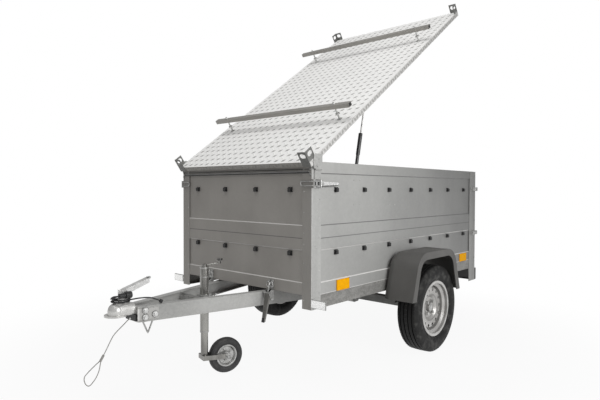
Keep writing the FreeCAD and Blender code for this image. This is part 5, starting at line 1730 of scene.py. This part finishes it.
@dataclass
class Coupling:
    """The ball coupling's pressed shell, grip cover, bolts, nose block and the lead's wire loop.

    A station of the shell is its X, half its width, its top and its bottom.
    """

    grip_root: Triple = (1.3800, 0, 0.5630)
    grip_tip: Triple = (1.2425, 0, 0.6035)
    root_half: float = 0.0190
    tip_half: float = 0.0195
    tip_radius: float = 0.016
    tip_back: float = 0.010
    cover_below: float = 0.003
    cover_thick: float = 0.004
    foot: Box = ((1.3965, 0.0172, 0.5300), (0.014, 0.0032, 0.062))
    wall_back: float = 0.012
    wall_depths: Pair = (0.026, 0.020)
    wall_thick: float = 0.0018
    rim_radius: float = 0.0022
    rim_rise: float = 0.001
    hole: Pair = (0.0072, 0.0006)
    hole_back: float = 0.007
    hole_rise: float = 0.0009
    cheek_bolts: tuple[Pair, ...] = ((1.3055, 0.420), (1.3055, 0.454), (1.2575, 0.4305))
    cheek_nose: Pair = (1.3355, 0.0625)
    cheek_spread: float = 0.2567
    cheek_normal: Triple = (0.249, 0.9685, 0)
    cheek_bolt: float = 0.020
    cheek_washer: tuple[Pair, ...] = ((0, 0.0175), (0.0009, 0.0170))
    pivot: Triple = (1.3895, 0.017, 0.540)
    pivot_bolt: float = 0.012
    stations: tuple[Quad, ...] = (
        (1.4245, 0.0380, 0.4990, 0.4440), (1.4050, 0.0378, 0.4985, 0.4440), (1.3850, 0.0365, 0.4980, 0.4440),
        (1.3600, 0.0350, 0.4960, 0.4430), (1.3440, 0.0350, 0.4930, 0.4420), (1.3360, 0.0360, 0.4910, 0.4400))
    shell_steps: int = 14
    shell_power: float = 0.75
    nose: Box = ((1.341, 0, 0.4195), (0.011, 0.098, 0.034))
    wire_middle: Triple = (1.2795, 0.04884, 0.3965)
    wire_route: tuple[Pair, ...] = ((0.028, 0.0), (0.0035, -0.0545), (0.0, -0.0600), (-0.0035, -0.0545),
                                    (-0.028, 0.0))
    wire_radius: float = 0.0042

    def grip_end(self, along: Vector, count: int) -> list[Vector]:
        """Points round the grip's free end, from one edge to the other.

        Args:
            along: The way from the grip's root to its tip.
            count: How many steps there are.

        Returns:
            The points, one more than the steps.
        """
        points = []
        for index in range(count + 1):
            angle = math.radians(-90 + 180 * index / count)
            points.append(Vector(self.grip_tip) + along * (self.tip_radius * math.cos(angle) - self.tip_back)
                          + Side.LEFT.out * (self.tip_half * math.sin(angle)))
        return points

    def grip(self) -> None:
        """Fold the grip's channel over its bar, with a round end, a rim and a black disc of painted shade in
        its hole.
        """
        maker, eye = Maker(), Maker()
        root, tip = Vector(self.grip_root), Vector(self.grip_tip)
        along, length = (tip - root).normalized(), (tip - root).length
        up = Side.LEFT.out.cross(along)
        outline = [*self.grip_end(along, 8), *(root + side.out * self.root_half for side in Side)]
        maker.plate([point - up * self.cover_below for point in outline], up * self.cover_thick)
        place, sizes = self.foot
        root_depth, tip_depth = self.wall_depths
        for side in Side:
            maker.block(side.at(*place), sizes)
        for side in Side:
            near = root + side.out * self.root_half
            far = root + along * (length - self.wall_back) + side.out * self.tip_half
            maker.plate([near, far, far - up * tip_depth, near - up * root_depth], side.out * -self.wall_thick)
        rim = [point + up * self.rim_rise for point in self.grip_end(along, 12)]
        maker.tube(rim, self.rim_radius, steps=6)
        maker.piece("grip_cover", "drawbar", BRIGHT, Slot.COUPLING, bevel=0.001)
        # A black disc of painted shade stands for the hole.
        radius, thick = self.hole
        place = tip - along * self.hole_back + up * self.hole_rise
        eye.spun(place, up, [(0, radius), (thick, radius)], steps=20)
        eye.piece("grip_hole_painted_shade", "drawbar", BLACK, Slot.PLASTIC)

    def bolts(self) -> None:
        """Fit the bolts and washers through the cheeks, and the grip's pivot."""
        bolts, washers = Maker(), Maker()
        nose_x, nose_y = self.cheek_nose
        for side in Side:
            normal = side.at(*self.cheek_normal)
            for x, z in self.cheek_bolts:
                place = side.at(x, nose_y + (nose_x - x) * self.cheek_spread, z)
                bolts.bolt(place, normal, self.cheek_bolt, tall=0.45)
                washers.spun(place, normal, self.cheek_washer, steps=20)
            bolts.bolt(side.at(*self.pivot), side.out, self.pivot_bolt, tall=0.4)
        bolts.piece("coupling_bolts", "drawbar", BRIGHT, Slot.ZINC)
        washers.piece("coupling_washers", "drawbar", UNDER_SHADE, Slot.ZINC)

    def shell(self) -> None:
        """Draw the pressed body back from the dome to the beams in one smooth form."""
        maker = Maker()
        steps, power = self.shell_steps, self.shell_power
        ring = steps + 1
        points, faces = [], []
        for x, half, high, low in self.stations:
            for step in range(ring):
                angle = math.pi * step / steps
                points.append((x, half * math.copysign(abs(math.cos(angle)) ** power, math.cos(angle)),
                               low + (high - low) * math.sin(angle) ** power))
        for index in range(len(self.stations) - 1):
            here = index * ring
            faces += [(here + step, here + step + 1, here + ring + step + 1, here + ring + step)
                      for step in range(steps)]
            faces.append((here + steps, here, here + ring, here + ring + steps))
        faces.append(tuple(reversed(range(ring))))
        faces.append(tuple(range(len(points) - ring, len(points))))
        maker.add(points, faces)
        maker.piece("coupling_shell", "drawbar", COUPLING, Slot.COUPLING, angle=50.0)

    def nose_and_wire(self) -> None:
        """Close the beams' front with a rubber block, and thicken the wire that holds the lead."""
        block, wire = Maker(), Maker()
        block.block(*self.nose)
        block.piece("nose_rubber", "drawbar", BLACK, Slot.LEAD, bevel=0.003)
        x, y, z = self.wire_middle
        route = [(x + along, y, z + rise) for along, rise in self.wire_route]
        wire.tube(route, self.wire_radius, steps=10)
        wire.piece("lead_wire", "drawbar", ZINC, Slot.STEEL)

    def build(self) -> None:
        """Dress the coupling and add its pieces."""
        PAINTS.dress(COUPLING, ["coupling_head"])
        PAINTS.dress(BEAM, ["beam_left", "beam_right"])
        PAINTS.dress(ZINC, ["jockey_clamp"])
        self.grip()
        self.shell()
        self.bolts()
        self.nose_and_wire()


@dataclass
class JockeyWheel:
    """The jockey wheel's nuts, its crank's knob and the collars on its tube.

    A collar is its height over the ground, how tall it is and its radius.
    """

    axle: Triple = (0.7685, 0.0353, 0.1)
    swivel: float = 16.0
    axle_nut: Pair = (0.037, 0.022)
    rim_nut: Pair = (0.0078, 0.011)
    rim_circle: float = 0.036
    rim_count: int = 5
    knob_place: Triple = (0.8179, 0.0421, 0.6368)
    knob: tuple[Pair, ...] = (
        (-0.0035, 0.0074), (0.0100, 0.0072), (0.0125, 0.0110), (0.0138, 0.0168), (0.0165, 0.0178),
        (0.0215, 0.0178), (0.0243, 0.0160), (0.0246, 0.0060))
    tube: Pair = (0.8915, 0.0)
    tube_radius: float = 0.0238
    collars: tuple[Triple, ...] = (
        (0.610, 0.006, 0.0255), (0.252, 0.006, 0.0248), (0.56, 0.004, 0.0245))

    def nuts(self) -> None:
        """Fit a nut at each end of the axle and a ring of nuts on each half of the rim."""
        axle_nuts, rim_nuts = Maker(), Maker()
        lean = math.radians(self.swivel)
        out = Vector((math.sin(lean), math.cos(lean), 0))
        for side in (-1, 1):
            reach, size = self.axle_nut
            axle_nuts.bolt(Vector(self.axle) + out * (side * reach), out * side, size, tall=0.5)
            reach, size = self.rim_nut
            for index in range(self.rim_count):
                angle = 2 * math.pi * index / self.rim_count
                spoke = out.cross(UPWARD) * math.cos(angle) + UPWARD * math.sin(angle)
                place = Vector(self.axle) + out * (side * reach) + spoke * self.rim_circle
                rim_nuts.bolt(place, out * side, size, tall=0.4)
        axle_nuts.piece("jockey_axle_nuts", "jockey_leg", ZINC, Slot.ZINC)
        rim_nuts.piece("jockey_rim_nuts", "jockey_wheel", ZINC, Slot.ZINC)

    def build(self) -> None:
        """Make the small pieces and dress the nodes."""
        PAINTS.dress(JOCKEY, ["jockey_tube", "jockey_leg"])
        PAINTS.dress(ZINC, ["jockey_rim"])
        PAINTS.dress(JOCKEY_TYRE, ["jockey_tyre"])
        self.nuts()
        knob, collars = Maker(), Maker()
        knob.spun(self.knob_place, UPWARD, self.knob, steps=24)
        knob.piece("crank_knob", "jockey_tube", BLACK, Slot.PLASTIC)
        inner = self.tube_radius
        for low, tall, radius in self.collars:
            profile = [(0, inner), (0, radius), (tall, radius), (tall, inner)]
            collars.spun((*self.tube, low), UPWARD, profile, steps=32, closed=True)
        collars.piece("jockey_collars", "jockey_tube", ZINC, Slot.ZINC)


@dataclass
class TailLamps:
    """The tail lamps' ribs and housings."""

    middle: Triple = (-1.460, 0.4705, 0.3595)
    depth: float = 0.030
    wall: float = 0.002
    half: Pair = (0.0925, 0.0455)
    rib_face: float = 0.0182
    ribs: Pair = (-0.062, 0.0)
    rib: Triple = (0.0006, 0.0015, 0.078)

    def build(self) -> None:
        """Lay a dark housing round each lens and ribs on it."""
        PAINTS.dress(PAINT, ["light_carrier"])
        PAINTS.dress(RED, ["tail_lamps"])
        housing, lens = Maker(), Maker()
        wide, tall = self.half
        for side in Side:
            middle = side.at(*self.middle)
            for rise in (tall, -tall):
                housing.block(middle + Vector((0, 0, rise)), (self.depth, 2 * wide, self.wall))
            for across in (-wide, wide):
                housing.block(middle + Vector((0, across, 0)), (self.depth, self.wall, 2 * tall + self.wall))
            for across in self.ribs:
                lens.block(middle + Vector((-self.rib_face, across, 0)), self.rib)
        housing.piece("lamp_housings", "bed", BLACK, Slot.PLASTIC)
        lens.piece("lamp_ribs", "bed", BLACK, Slot.LAMP)


@dataclass
class Studio:
    """A white floor and backdrop with soft light from the trailer's left and above.

    A lamp is its name, its place, what it points at, its side's length and its power in watts.
    """

    ambient: float = 0.36
    floor_grey: float = 0.42
    floor_half: float = 14.0
    floor_level: float = -0.0005
    near_white: float = 0.93
    fade: Pair = (1.2, 2.8)
    lamps: tuple[tuple[str, Triple, Triple, float, float], ...] = (
        ("side_light", (0.5, 3.4, 1.7), (0.0, 0.3, 0.8), 1.8, 72.0),
        ("top_light", (1.4, 0.3, 4.8), (0.0, 0.0, 1.5), 2.6, 72.0))

    def floor_material(self) -> bpy.types.Material:
        """White where it is seen, a little duller near the trailer, and grey to the lamps' light.

        Returns:
            The floor's material.
        """
        graph = Graph("studio_white")
        graph.colour((self.floor_grey, self.floor_grey, self.floor_grey, 1.0))
        graph.roughness(0.9)
        light = graph.node("ShaderNodeEmission", inputs={"Color": (1, 1, 1, 1), "Strength": 1.0})
        rays = graph.node("ShaderNodeLightPath")
        reach = graph.node("ShaderNodeVectorMath", {"operation": "LENGTH"}, {0: graph.place})
        fade = Value(graph, reach.outputs["Value"]).ramp(*self.fade)
        camera, glossy, clear = (Value(graph, rays.outputs[f"Is {kind} Ray"])
                                 for kind in ("Camera", "Glossy", "Transmission"))
        seen = (camera + glossy + clear).clamped() * (self.near_white + fade * (1.0 - self.near_white))
        mixed = graph.node("ShaderNodeMixShader", inputs={0: seen, 1: graph.shader.outputs[0],
                                                          2: light.outputs[0]})
        graph.feed(graph.tree.nodes["Material Output"].inputs["Surface"], mixed.outputs[0])
        return graph.material

    def floor(self) -> None:
        """Lay the floor, which is also the backdrop."""
        mesh = bpy.data.meshes.new("studio_floor")
        far = self.floor_half
        corners = [(x, y, self.floor_level) for x, y in ((-far, -far), (far, -far), (far, far), (-far, far))]
        mesh.from_pydata(corners, [], [(0, 1, 2, 3)])
        mesh.materials.append(self.floor_material())
        floor = bpy.data.objects.new("studio_floor", mesh)
        bpy.context.scene.collection.objects.link(floor)

    def lamp(self, name: str, place: Point, target: Point, size: float, power: float) -> None:
        """Hang one square soft light.

        Args:
            name: The lamp's name.
            place: Where it hangs.
            target: What it points at.
            size: The length of its side.
            power: Its power in watts.
        """
        data = bpy.data.lights.new(name, "AREA")
        data.energy, data.size = power, size
        lamp = bpy.data.objects.new(name, data)
        lamp.location = Vector(place)
        lamp.rotation_euler = (Vector(target) - Vector(place)).to_track_quat("-Z", "Y").to_euler()
        bpy.context.scene.collection.objects.link(lamp)

    def world(self) -> None:
        """White where it is seen, and a soft grey light elsewhere."""
        world = bpy.data.worlds.new("studio")
        bpy.context.scene.world = world
        world.use_nodes = True
        nodes = Nodes(world.node_tree)
        rays = nodes.node("ShaderNodeLightPath")
        camera, clear = (Value(nodes, rays.outputs[f"Is {kind} Ray"]) for kind in ("Camera", "Transmission"))
        strength = nodes.node("ShaderNodeMapRange", inputs={"Value": camera.larger(clear),
                                                            "To Min": self.ambient, "To Max": 1.0})
        background = world.node_tree.nodes["Background"]
        nodes.feed(background.inputs["Color"], (1, 1, 1, 1))
        nodes.feed(background.inputs["Strength"], strength.outputs[0])

    def build(self) -> None:
        """Set the stage, the lamps and the view transform."""
        bpy.context.scene.view_settings.view_transform = "Standard"
        self.floor()
        self.world()
        for lamp in self.lamps:
            self.lamp(*lamp)
        LOG.info("studio made")


def build_trailer() -> None:
    """Build every sub-assembly in order."""
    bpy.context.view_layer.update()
    wheels = [Wheel(side) for side in Side]
    for part in (CameraRig(), SafetyCable(), LightingLead(), Studio(), Bed(), Lid(), Struts(), Hooks(), *wheels,
                 Latches(), DrawbarClamps(), Coupling(), JockeyWheel(), TailLamps()):
        LOG.info("building %s", type(part).__name__)
        part.build()


if __name__ == "__main__":
    build_trailer()
